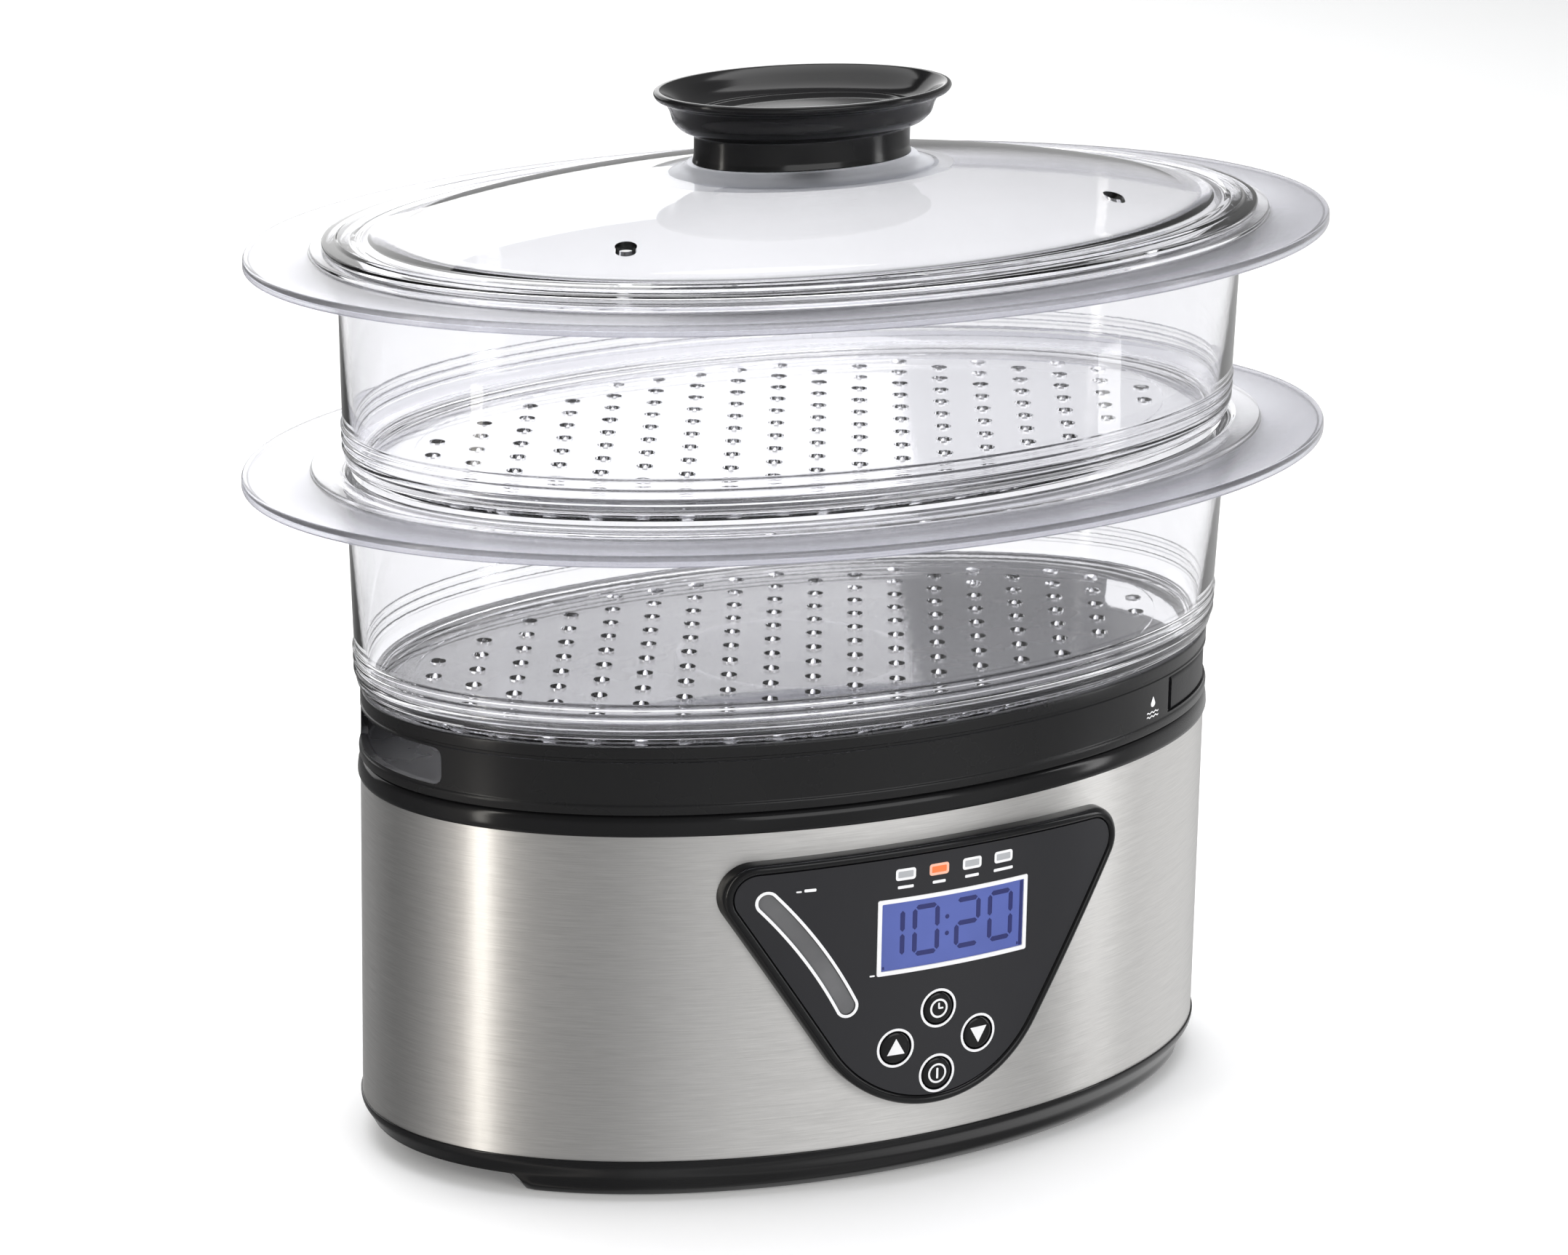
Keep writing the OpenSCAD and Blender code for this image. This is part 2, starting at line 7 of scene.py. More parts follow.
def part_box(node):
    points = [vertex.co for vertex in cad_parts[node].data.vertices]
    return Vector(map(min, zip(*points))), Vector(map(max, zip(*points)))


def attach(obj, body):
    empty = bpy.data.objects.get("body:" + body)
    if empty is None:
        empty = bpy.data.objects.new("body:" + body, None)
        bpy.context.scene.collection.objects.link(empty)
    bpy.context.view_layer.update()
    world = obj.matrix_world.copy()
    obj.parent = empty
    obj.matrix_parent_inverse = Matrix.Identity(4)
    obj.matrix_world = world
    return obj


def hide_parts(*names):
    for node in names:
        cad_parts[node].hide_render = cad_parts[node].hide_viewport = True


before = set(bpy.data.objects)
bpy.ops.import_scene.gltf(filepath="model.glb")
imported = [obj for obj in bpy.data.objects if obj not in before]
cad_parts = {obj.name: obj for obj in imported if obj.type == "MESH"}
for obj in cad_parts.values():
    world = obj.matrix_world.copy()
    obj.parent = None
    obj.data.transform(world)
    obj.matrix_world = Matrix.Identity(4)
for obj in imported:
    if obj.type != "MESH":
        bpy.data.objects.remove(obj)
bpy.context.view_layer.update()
scene = bpy.context.scene

# ---- camera ----
# A long lens to the left of the front and a little above, level with the middle of the steamer.
azimuth, elevation, roll, pan, tilt = [math.radians(v) for v in (-29.607, 16.916, -1.026, 0.109, 0.070)]
back = Vector((math.sin(azimuth) * math.cos(elevation), -math.cos(azimuth) * math.cos(elevation),
               math.sin(elevation)))
right = (-back).cross(Vector((0, 0, 1))).normalized()
up = right.cross(-back)
turn = Matrix.Rotation(pan, 3, up)
forward, right = turn @ -back, turn @ right
turn = Matrix.Rotation(tilt, 3, right)
forward, up = turn @ forward, turn @ up
turn = Matrix.Rotation(roll, 3, forward)
right, up = turn @ right, turn @ up
camera = bpy.data.objects.new("camera", bpy.data.cameras.new("camera"))
scene.collection.objects.link(camera)
camera.matrix_world = Matrix.Translation(Vector((0, 0, 0.1451)) + back * 1.58769) @ Matrix(
    (right, up, -forward)
).transposed().to_4x4()
camera.data.sensor_width = 36
camera.data.lens = 119.25
camera.data.clip_end = 30
scene.camera = camera

# ---- floor and light ----
# A white table in a studio. Directly the backdrop is pure white. What the glossy surfaces mirror is a ring
# of pale and dark screens round the table, and diffuse surfaces get an even dim fill from it.
scene.view_settings.view_transform = "Standard"
scene.cycles.max_bounces = 24
scene.cycles.transmission_bounces = 24
world = bpy.data.worlds.new("studio")
scene.world = world
world.use_nodes = True
tree = world.node_tree
tree.nodes.clear()


def studio_math(how, a, b=None):
    node = tree.nodes.new("ShaderNodeMath")
    node.operation = how
    for socket, value in zip(node.inputs, (a, b)):
        if isinstance(value, (int, float)):
            socket.default_value = value
        elif value is not None:
            tree.links.new(value, socket)
    return node.outputs[0]


def studio_ramp(factor, stops):
    node = tree.nodes.new("ShaderNodeValToRGB")
    stones = node.color_ramp.elements
    while len(stones) < len(stops):
        stones.new(0.5)
    for stone, (position, level, warmth) in zip(stones, stops):
        stone.position = position
        stone.color = (level * (1 + warmth), level, level * (1 - warmth), 1)
    tree.links.new(factor, node.inputs["Fac"])
    return node.outputs["Color"]


def backdrop(colour, strength):
    node = tree.nodes.new("ShaderNodeBackground")
    if isinstance(colour, tuple):
        node.inputs["Color"].default_value = colour
    else:
        tree.links.new(colour, node.inputs["Color"])
    node.inputs["Strength"].default_value = strength
    return node.outputs[0]


def either(choice, no, yes):
    node = tree.nodes.new("ShaderNodeMixShader")
    for socket, value in zip(node.inputs, (choice, no, yes)):
        tree.links.new(value, socket)
    return node.outputs[0]


split = tree.nodes.new("ShaderNodeSeparateXYZ")
tree.links.new(tree.nodes.new("ShaderNodeTexCoord").outputs["Generated"], split.inputs[0])
height = studio_math("MULTIPLY_ADD", split.outputs["Z"], 0.5)
height.node.inputs[2].default_value = 0.5
bearing = studio_math("ARCTAN2", split.outputs["X"], studio_math("MULTIPLY", split.outputs["Y"], -1))
bearing = studio_math("MULTIPLY_ADD", bearing, 0.5 / math.pi)
bearing.node.inputs[2].default_value = 0.5
screens = [(-180, 0.25, 0), (-128, 0.22, 0), (-106, 0.4, 0.01), (-96, 0.62, 0.02), (-83, 0.92, 0.05),
           (-73, 0.92, 0.05),
           (-62, 0.46, 0.01), (-36, 0.45, 0), (-25, 0.53, 0), (-13, 0.76, 0), (-4, 0.78, 0), (4, 0.66, 0),
           (11, 0.68, 0), (23, 0.95, 0), (38, 0.95, 0), (50, 0.5, 0), (68, 0.52, 0), (84, 1.05, 0),
           (112, 1.0, 0),
           (145, 0.5, 0), (180, 0.25, 0)]
ring = studio_ramp(bearing, [(0.5 + angle / 360, level, warmth) for angle, level, warmth in screens])
fade = studio_ramp(height, [(0.0, 0.8, 0), (0.3, 0.95, 0), (0.55, 1.0, 0), (0.68, 0.45, 0), (1.0, 0.3, 0)])
mirrored = tree.nodes.new("ShaderNodeVectorMath")
mirrored.operation = "MULTIPLY"
tree.links.new(ring, mirrored.inputs[0])
tree.links.new(fade, mirrored.inputs[1])
fill = studio_ramp(height, [(0.47, 0.49, 0.01), (0.75, 0.79, -0.01)])
path = tree.nodes.new("ShaderNodeLightPath")
sky = either(path.outputs["Is Glossy Ray"], backdrop(fill, 0.62), backdrop(mirrored.outputs[0], 1.0))
sky = either(path.outputs["Is Transmission Ray"], sky, backdrop((0.955, 0.955, 0.98, 1), 1.0))
sky = either(path.outputs["Is Camera Ray"], sky, backdrop((1, 1, 1, 1), 1.02))
tree.links.new(sky, tree.nodes.new("ShaderNodeOutputWorld").inputs["Surface"])


def softbox(name, place, aim, size, power, colour=(1, 1, 1)):
    light = bpy.data.lights.new(name, "AREA")
    light.shape = "RECTANGLE"
    light.size, light.size_y = size
    light.energy = power
    light.color = colour
    lamp = bpy.data.objects.new(name, light)
    lamp.location = place
    lamp.rotation_euler = (Vector(aim) - Vector(place)).to_track_quat("-Z", "Y").to_euler()
    scene.collection.objects.link(lamp)


softbox("overhead", (0.1, 0.2, 1.7), (0, 0, 0.1), (1.8, 1.4), 24)
softbox("left_strip", (-1.25, -0.35, 0.45), (0, 0, 0.12), (0.12, 1.3), 4.5, (1, 0.97, 0.9))
softbox("front_panel", (0.5, -2.0, 0.9), (0, 0, 0.1), (1.4, 1.0), 13)
softbox("right_strip", (1.3, -0.7, 0.4), (0, 0, 0.12), (0.16, 1.2), 3.5)
softbox("back_panel", (0.0, 1.9, 0.9), (0, 0, 0.25), (2.4, 1.2), 16)


# ---- floor ----
# A matte white sheet, large enough to run past the view on every side.
def fine_surface():
    """Faint mottling, uneven gloss and a fine grain, for every moulded and painted surface."""
    group = bpy.data.node_groups.new("fine_surface", "ShaderNodeTree")
    for label, kind in (("Color", "Color"), ("Mottle", "Float"), ("Roughness", "Float"),
                        ("Spread", "Float"), ("Scale", "Float")):
        group.interface.new_socket(label, in_out="INPUT", socket_type="NodeSocket" + kind)
    for label, kind in (("Color", "Color"), ("Roughness", "Float"), ("Height", "Float")):
        group.interface.new_socket(label, in_out="OUTPUT", socket_type="NodeSocket" + kind)
    nodes, links = group.nodes, group.links
    inp, out = nodes.new("NodeGroupInput"), nodes.new("NodeGroupOutput")
    place = nodes.new("ShaderNodeTexCoord")
    broad, grain = nodes.new("ShaderNodeTexNoise"), nodes.new("ShaderNodeTexNoise")
    broad.inputs["Detail"].default_value = 4
    grain.inputs["Detail"].default_value = 2
    finer = nodes.new("ShaderNodeMath")
    finer.operation = "MULTIPLY"
    finer.inputs[1].default_value = 14
    links.new(inp.outputs["Scale"], broad.inputs["Scale"])
    links.new(inp.outputs["Scale"], finer.inputs[0])
    links.new(finer.outputs[0], grain.inputs["Scale"])
    for noise in (broad, grain):
        links.new(place.outputs["Object"], noise.inputs["Vector"])
    centred = nodes.new("ShaderNodeMath")
    centred.operation = "SUBTRACT"
    centred.inputs[1].default_value = 0.5
    links.new(broad.outputs["Fac"], centred.inputs[0])
    shade = nodes.new("ShaderNodeMath")
    shade.operation = "MULTIPLY_ADD"
    shade.inputs[2].default_value = 1
    links.new(centred.outputs[0], shade.inputs[0])
    links.new(inp.outputs["Mottle"], shade.inputs[1])
    tint = nodes.new("ShaderNodeVectorMath")
    tint.operation = "SCALE"
    links.new(inp.outputs["Color"], tint.inputs[0])
    links.new(shade.outputs[0], tint.inputs["Scale"])
    gloss = nodes.new("ShaderNodeMath")
    gloss.operation = "MULTIPLY_ADD"
    links.new(centred.outputs[0], gloss.inputs[0])
    links.new(inp.outputs["Spread"], gloss.inputs[1])
    links.new(inp.outputs["Roughness"], gloss.inputs[2])
    links.new(tint.outputs[0], out.inputs["Color"])
    links.new(gloss.outputs[0], out.inputs["Roughness"])
    links.new(grain.outputs["Fac"], out.inputs["Height"])
    return group


grain_group = fine_surface()


def moulded(name, colour, rough, mottle=0.12, spread=0.08, scale=40, bump=0.05, metallic=0.0, sheen=0.5,
            group=None):
    """A material whose colour and gloss come from a shared group, with its own plain constants."""
    mat = bpy.data.materials.new(name)
    mat.use_nodes = True
    nodes, links = mat.node_tree.nodes, mat.node_tree.links
    shader = nodes["Principled BSDF"]
    shader.inputs["Metallic"].default_value = metallic
    shader.inputs["Specular IOR Level"].default_value = sheen
    surface = nodes.new("ShaderNodeGroup")
    surface.node_tree = group or grain_group
    surface.inputs["Color"].default_value = (*colour, 1)
    surface.inputs["Mottle"].default_value = mottle
    surface.inputs["Roughness"].default_value = rough
    surface.inputs["Spread"].default_value = spread
    surface.inputs["Scale"].default_value = scale
    links.new(surface.outputs["Color"], shader.inputs["Base Color"])
    links.new(surface.outputs["Roughness"], shader.inputs["Roughness"])
    relief = nodes.new("ShaderNodeBump")
    relief.inputs["Strength"].default_value = bump
    relief.inputs["Distance"].default_value = 0.0004
    links.new(surface.outputs["Height"], relief.inputs["Height"])
    links.new(relief.outputs["Normal"], shader.inputs["Normal"])
    return mat


mesh = bpy.data.meshes.new("floor")
mesh.from_pydata([(-4, -4, 0), (4, -4, 0), (4, 4, 0), (-4, 4, 0)], [], [(0, 1, 2, 3)])
floor = bpy.data.objects.new("floor", mesh)
scene.collection.objects.link(floor)
mesh.materials.append(moulded("floor_white", (0.93, 0.93, 0.93), 0.6, mottle=0.01, scale=3, bump=0.0))
floor_shader = mesh.materials[0].node_tree.nodes["Principled BSDF"]
floor_shader.inputs["Emission Color"].default_value = (1, 1, 1, 1)
floor_shader.inputs["Emission Strength"].default_value = 0.12
floor.visible_glossy = False

# ---- bottom cover ----
# One black moulding: a shallow oval pan with a foot skirt along the front and the back, so the ends stand
# clear of the table. It is screwed up into the housing from below.
skin_low, skin_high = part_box("steel_skin")
half_length, half_width = skin_high.x, skin_high.y
skin_bottom, skin_top = skin_low.z, skin_high.z
mm = 0.001


def at(offset, height, radius=0.0):
    """A corner of a section: offset out from the base outline, height and rounding, in millimetres."""
    return (half_length + offset * mm, half_width + offset * mm, height * mm, radius * mm)


def softened(section, closed):
    """The section with each corner that has a radius turned into a short curve."""
    out, count = [], len(section)
    for i, (a, b, z, r) in enumerate(section):
        here = Vector((a, b, z))
        if r == 0 or (not closed and i in (0, count - 1)):
            out.append(here)
            continue
        before, after = Vector(section[i - 1][:3]), Vector(section[(i + 1) % count][:3])
        r0, r1 = min(r, (before - here).length * 0.48), min(r, (after - here).length * 0.48)
        start, end = here + (before - here).normalized() * r0, here + (after - here).normalized() * r1
        for k in range(5):
            t = k / 4
            out.append(start * (1 - t) ** 2 + here * 2 * t * (1 - t) + end * t * t)
    return out


def piece_from(name, verts, faces, mat, sharp=38):
    mesh = bpy.data.meshes.new(name)
    mesh.from_pydata(verts, [], faces)
    mesh.validate()
    mesh.shade_smooth()
    mesh.set_sharp_from_angle(angle=math.radians(sharp))
    mesh.materials.append(mat)
    piece = bpy.data.objects.new(name, mesh)
    scene.collection.objects.link(piece)
    return piece


def oval_solid(name, section, mat, closed=True, around=240, low=None):
    """The section carried round the oval. A closed section makes a ring, an open one is shut at both ends."""
    rings = softened(section, closed)
    verts = []
    for a, b, z in rings:
        for i in range(around):
            t = i * 2 * math.pi / around
            x, y = a * math.cos(t), b * math.sin(t)
            verts.append((x, y, low(x, y, z) if low else z))
    faces, count = [], len(rings)
    for j in range(count if closed else count - 1):
        k = (j + 1) % count
        for i in range(around):
            n = (i + 1) % around
            faces.append((j * around + i, j * around + n, k * around + n, k * around + i))
    if not closed:
        faces.append(tuple(range(around - 1, -1, -1)))
        faces.append(tuple((count - 1) * around + i for i in range(around)))
    return piece_from(name, verts, faces, mat)


def foot_line(x, y, z):
    """Lifts the foot skirt clear of the table at the two ends, in a smooth step."""
    t = min(1, max(0, (abs(x) - 0.1115) / 0.006))
    return max(z, 0.006 * t * t * (3 - 2 * t))


black_gloss = moulded("black_gloss", (0.007, 0.007, 0.0075), 0.14, mottle=0.3, spread=0.05, scale=25,
                      bump=0.015, sheen=0.22)
cover = oval_solid(
    "bottom_pan",
    [
        at(-14, 5.6), at(-12, 5.6, 1), at(-10, 0.3, 1), at(-6, 0, 0.8), at(-3.2, 2.8, 1.5), at(-2.6, 6.2, 1),
        at(-1.4, 8.2, 1.2), at(0.4, 11, 1), at(0.6, 13, 0.5), at(-0.5, 13), at(-0.6, 9.8), at(-4.2, 9.6),
        at(-5.6, 7.8),
        (0.02, 0.012, 0.0078, 0), (0.02, 0.012, 0.0056, 0),
    ],
    black_gloss, low=foot_line,
)
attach(cover, "base")
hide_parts("bottom_cover")

# ---- base housing ----
# The black inner wall that everything hangs on. Only its rim shows, a rounded band above the steel, and the
# ledge inside that carries the water tub's flange.
def prism(name, outline, y0, y1):
    """A tool block: an outline in x and z, in millimetres, carried along y."""
    count = len(outline)
    verts = [(x * mm, y * mm, z * mm) for y in (y0, y1) for x, z in outline]
    faces = [tuple(range(count)), tuple(range(2 * count - 1, count - 1, -1))]
    faces += [(i, i + count, (i + 1) % count + count, (i + 1) % count) for i in range(count)]
    mesh = bpy.data.meshes.new(name)
    mesh.from_pydata(verts, [], faces)
    block = bpy.data.objects.new(name, mesh)
    scene.collection.objects.link(block)
    return block


def cut(piece, tool, how="DIFFERENCE"):
    """Cuts a tool block out of a piece, or keeps only what is inside it, and throws the tool away."""
    modifier = piece.modifiers.new("cut", "BOOLEAN")
    modifier.object, modifier.operation, modifier.solver = tool, how, "EXACT"
    mesh = bpy.data.meshes.new_from_object(piece.evaluated_get(bpy.context.evaluated_depsgraph_get()))
    piece.modifiers.clear()
    old, piece.data = piece.data, mesh
    bpy.data.meshes.remove(old)
    bpy.data.objects.remove(tool)
    mesh.set_sharp_from_angle(angle=math.radians(38))


lobe_x, lobe_r, belly_r = 57.2, 10.2, 42.8
lobe_z = skin_top / mm - 18.8
belly_z = lobe_z - 28.4


def panel_line(inset):
    """The panel's outline drawn in by inset: two small upper lobes, a low crown and one large round
    bottom."""
    lean = math.atan2(lobe_z - belly_z, lobe_x) + math.asin((belly_r - lobe_r) / math.hypot(lobe_x,
            lobe_z - belly_z))
    top = lobe_z + lobe_r - inset

    def arc(x, z, r, t0, t1, n):
        steps = [t0 + (t1 - t0) * i / n for i in range(n + 1)]
        return [(x + r * math.cos(t), z + r * math.sin(t)) for t in steps]

    def between(p, q, n):
        return [(p[0] + (q[0] - p[0]) * i / n, p[1] + (q[1] - p[1]) * i / n) for i in range(1, n)]

    low = arc(0, belly_z, belly_r - inset, -math.pi / 2 - lean, lean - math.pi / 2, 40)
    lobe = arc(lobe_x, lobe_z, lobe_r - inset, lean - math.pi / 2, math.radians(89), 16)
    crown = [(x, top + 1.1 * (1 - (x / lobe_x) ** 2)) for x in [lobe_x * (1 - i / 20) for i in range(1, 40)]]
    other = [(-x, z) for x, z in reversed(lobe)]
    return low + between(low[-1], lobe[0], 16) + lobe + crown + other + between(other[-1], low[0], 16)


rim_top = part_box("base_housing")[1].z / mm
top = skin_top / mm
housing = oval_solid(
    "housing_rim",
    [
        at(-0.6, 9.7), at(-0.6, top), at(0.5, top, 0.3), at(0.9, top + 1, 0.6), at(0.6, rim_top - 1.6, 2),
        at(-1, rim_top, 1.2),
        at(-3, rim_top, 0.6), at(-3, 111, 0.4), at(-6.5, 111), at(-6.5, 108), at(-3, 108, 0.6),
        at(-3, 9.7),
    ],
    black_gloss,
)
cut(housing, prism("opening", panel_line(2.5), -110, -40))
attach(housing, "base")
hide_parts("base_housing")


# ---- steel skin ----
# A thin stainless band wrapped round the housing, brushed along its length, with the panel's opening cut
# out of it.
def brushing():
    """Fine streaks along the length of the oval, which also break up the gloss."""
    group = bpy.data.node_groups.new("brushing", "ShaderNodeTree")
    for label, kind in (("Color", "Color"), ("Mottle", "Float"), ("Roughness", "Float"),
                        ("Spread", "Float"), ("Scale", "Float")):
        group.interface.new_socket(label, in_out="INPUT", socket_type="NodeSocket" + kind)
    for label, kind in (("Color", "Color"), ("Roughness", "Float"), ("Height", "Float")):
        group.interface.new_socket(label, in_out="OUTPUT", socket_type="NodeSocket" + kind)
    nodes, links = group.nodes, group.links
    inp, out = nodes.new("NodeGroupInput"), nodes.new("NodeGroupOutput")
    place = nodes.new("ShaderNodeTexCoord")
    stretch = nodes.new("ShaderNodeMapping")
    stretch.inputs["Scale"].default_value = (0.03, 0.03, 1)
    links.new(place.outputs["Object"], stretch.inputs["Vector"])
    streaks = nodes.new("ShaderNodeTexNoise")
    streaks.inputs["Detail"].default_value = 5
    streaks.inputs["Roughness"].default_value = 0.7
    links.new(stretch.outputs[0], streaks.inputs["Vector"])
    links.new(inp.outputs["Scale"], streaks.inputs["Scale"])
    centred = nodes.new("ShaderNodeMath")
    centred.operation = "SUBTRACT"
    centred.inputs[1].default_value = 0.5
    links.new(streaks.outputs["Fac"], centred.inputs[0])
    shade = nodes.new("ShaderNodeMath")
    shade.operation = "MULTIPLY_ADD"
    shade.inputs[2].default_value = 1
    links.new(centred.outputs[0], shade.inputs[0])
    links.new(inp.outputs["Mottle"], shade.inputs[1])
    tint = nodes.new("ShaderNodeVectorMath")
    tint.operation = "SCALE"
    links.new(inp.outputs["Color"], tint.inputs[0])
    links.new(shade.outputs[0], tint.inputs["Scale"])
    gloss = nodes.new("ShaderNodeMath")
    gloss.operation = "MULTIPLY_ADD"
    links.new(centred.outputs[0], gloss.inputs[0])
    links.new(inp.outputs["Spread"], gloss.inputs[1])
    links.new(inp.outputs["Roughness"], gloss.inputs[2])
    links.new(tint.outputs[0], out.inputs["Color"])
    links.new(gloss.outputs[0], out.inputs["Roughness"])
    waves = nodes.new("ShaderNodeTexNoise")
    waves.inputs["Scale"].default_value = 16
    waves.inputs["Detail"].default_value = 0
    links.new(place.outputs["Object"], waves.inputs["Vector"])
    relief = nodes.new("ShaderNodeMath")
    relief.operation = "MULTIPLY_ADD"
    relief.inputs[1].default_value = 9
    links.new(waves.outputs["Fac"], relief.inputs[0])
    links.new(streaks.outputs["Fac"], relief.inputs[2])
    links.new(relief.outputs[0], out.inputs["Height"])
    return group


brush_group = brushing()
brushed_steel = moulded(
    "brushed_steel", (0.62, 0.612, 0.6), 0.36, mottle=0.55, spread=0.2, scale=2600, bump=0.1, metallic=1.0,
    group=brush_group
)
steel_shader = brushed_steel.node_tree.nodes["Principled BSDF"]
steel_shader.inputs["Anisotropic"].default_value = 0.85
steel_shader.inputs["Anisotropic Rotation"].default_value = 0.25
skin = oval_solid(
    "steel_band",
    [at(0, skin_bottom / mm), at(0, top), at(-0.55, top), at(-0.55, skin_bottom / mm)],
    brushed_steel,
)
cut(skin, prism("opening", panel_line(2.5), -110, -40))
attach(skin, "base")
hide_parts("steel_skin")

# ---- panel housing ----
# A glossy black frame standing out from the steel, curved with it, with a rolled edge and a channel round
# the face.
face_out = 4.2


def on_face(x, z, offset):
    """A point at x and z, in millimetres, on the oval drawn out by offset."""
    a, b = half_length + offset * mm, half_width + offset * mm
    return (x * mm, -b * math.sqrt(1 - (x * mm / a) ** 2), z * mm)


def framed(name, steps, mat):
    """A ring in the panel's outline, with a section given as steps of inset and distance out from the
    steel."""
    verts = [on_face(x, z, offset) for inset, offset in steps for x, z in panel_line(inset)]
    count, faces = len(panel_line(0)), []
    for j in range(len(steps)):
        k = (j + 1) % len(steps)
        for i in range(count):
            n = (i + 1) % count
            faces.append((j * count + i, k * count + i, k * count + n, j * count + n))
    return piece_from(name, verts, faces, mat)


bezel = framed(
    "panel_bezel",
    [(2.8, -5), (2.8, 0.1), (0, 0.1), (0, 3), (0.15, 3.9), (0.6, 4.6), (1.3, 4.95), (2, 4.9), (2.6, 4.5),
     (2.9, 4),
     (3.1, 3.2), (4.3, 3.0), (4.3, -5)],
    black_gloss,
)
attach(bezel, "base")
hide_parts("panel_housing")

# ---- panel face ----
# A dark grey overlay set into the frame, with openings for the display, the lights, the level slot and the
# buttons.
delay_at, up_at, down_at, power_at = (0, lobe_z - 41), (-14.2, lobe_z - 51.4), (14.2, lobe_z - 51.4), (0,
        lobe_z - 61.6)
lcd_x, lcd_z, lcd_l, lcd_h = 5, lobe_z - 16.2, 52, 23.6
light_z, light_xs = lobe_z + 2.8, (-12.1, -0.9, 10.5, 21.8)


def plate(name, outline, inner, outer, mat):
    """A thin plate that follows the face, cut to an outline in x and z."""
    x0, x1 = min(p[0] for p in outline) - 1, max(p[0] for p in outline) + 1
    z0, z1 = min(p[1] for p in outline) - 1, max(p[1] for p in outline) + 1
    columns = max(2, int((x1 - x0) / 1.2))
    xs = [x0 + (x1 - x0) * i / columns for i in range(columns + 1)]
    verts = [on_face(x, z, d) for d in (inner, outer) for z in (z0, z1) for x in xs]
    n = columns + 1
    faces = []
    for i in range(columns):
        faces.append((i, n + i, n + i + 1, i + 1))
        faces.append((2 * n + i, 2 * n + i + 1, 3 * n + i + 1, 3 * n + i))
        faces.append((i, i + 1, 2 * n + i + 1, 2 * n + i))
        faces.append((n + i, 3 * n + i, 3 * n + i + 1, n + i + 1))
    faces.append((0, 2 * n, 3 * n, n))
    faces.append((n - 1, 2 * n - 1, 4 * n - 1, 3 * n - 1))
    piece = piece_from(name, verts, faces, mat)
    cut(piece, prism("outline", outline, -120, -30), "INTERSECT")
    return piece


def round_line(x, z, r, n=40):
    return [(x + r * math.cos(2 * math.pi * i / n), z + r * math.sin(2 * math.pi * i / n)) for i in range(n)]


def soft_box(x, z, length, height, r):
    """A rectangle with rounded corners, centred on x and z."""
    out = []
    for cx, cz, t0 in ((1, -1, -90), (1, 1, 0), (-1, 1, 90), (-1, -1, 180)):
        for k in range(6):
            t = math.radians(t0 + k * 18)
            out.append((x + cx * (length / 2 - r) + r * math.cos(t),
                        z + cz * (height / 2 - r) + r * math.sin(t)))
    return out


def level_slot(r, bow=1.5):
    """The level slot's outline: round ends joined by a gentle bow."""
    p, q = (-54.8, lobe_z - 1.5), (-30.2, lobe_z - 36)
    length = math.hypot(q[0] - p[0], q[1] - p[1])
    ux, uz = (q[0] - p[0]) / length, (q[1] - p[1]) / length
    nx, nz = -uz, ux

    def middle(t):
        lift = bow * 4 * t * (1 - t)
        return (p[0] + ux * length * t + nx * lift, p[1] + uz * length * t + nz * lift)

    side = [(middle(i / 20)[0] + nx * r, middle(i / 20)[1] + nz * r) for i in range(21)]
    other = [(middle(i / 20)[0] - nx * r, middle(i / 20)[1] - nz * r) for i in range(20, -1, -1)]
    facing = math.atan2(nz, nx)
    far = [(q[0] + r * math.cos(facing - math.pi * k / 12),
            q[1] + r * math.sin(facing - math.pi * k / 12)) for k in range(1, 12)]
    near = [(p[0] - r * math.cos(facing - math.pi * k / 12),
             p[1] - r * math.sin(facing - math.pi * k / 12)) for k in range(1, 12)]
    return (side + far + other + near)[::-1]


fascia_grey = moulded("fascia_grey", (0.016, 0.016, 0.019), 0.3, mottle=0.25, spread=0.06, scale=30,
                      bump=0.02, sheen=0.35)
fascia = plate("panel_face", panel_line(3.15), 3.1, face_out, fascia_grey)
cut(fascia, prism("display", soft_box(lcd_x, lcd_z, lcd_l, lcd_h, 0.6), -120, -30))
for x in light_xs:
    cut(fascia, prism("light", soft_box(x, light_z, 6.6, 3.6, 0.8), -120, -30))
for x, z in (delay_at, up_at, down_at, power_at):
    cut(fascia, prism("button", round_line(x, z, 5.25), -120, -30))
cut(fascia, prism("slot", level_slot(2.6), -120, -30))
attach(fascia, "base")
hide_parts("panel_fascia")


# ---- printed marks on the face ----
# White ink: a ring round each button, a line round the level slot with a tick at each end, and a plain bar
# under each light.
def printed(name, rings, fills, offset, mat, body):
    """Ink as a thin raised layer. A ring is a pair of outlines, and a fill is one outline."""
    verts, faces = [], []
    for outer, inner in rings:
        base, n = len(verts), len(outer)
        for loop, d in ((outer, offset), (outer, offset + 0.06), (inner, offset + 0.06), (inner, offset)):
            verts += [on_face(x, z, d) for x, z in loop]
        for j in range(4):
            k = (j + 1) % 4
            faces += [(base + j * n + i, base + k * n + i, base + k * n + (i + 1) % n,
                       base + j * n + (i + 1) % n) for i in range(n)]
    for loop in fills:
        base, n = len(verts), len(loop)
        for d in (offset, offset + 0.06):
            verts += [on_face(x, z, d) for x, z in loop]
        faces.append(tuple(base + i for i in range(n - 1, -1, -1)))
        faces.append(tuple(base + n + i for i in range(n)))
        faces += [(base + i, base + (i + 1) % n, base + n + (i + 1) % n, base + n + i) for i in range(n)]
    piece = piece_from(name, verts, faces, mat)
    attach(piece, body)
    return piece


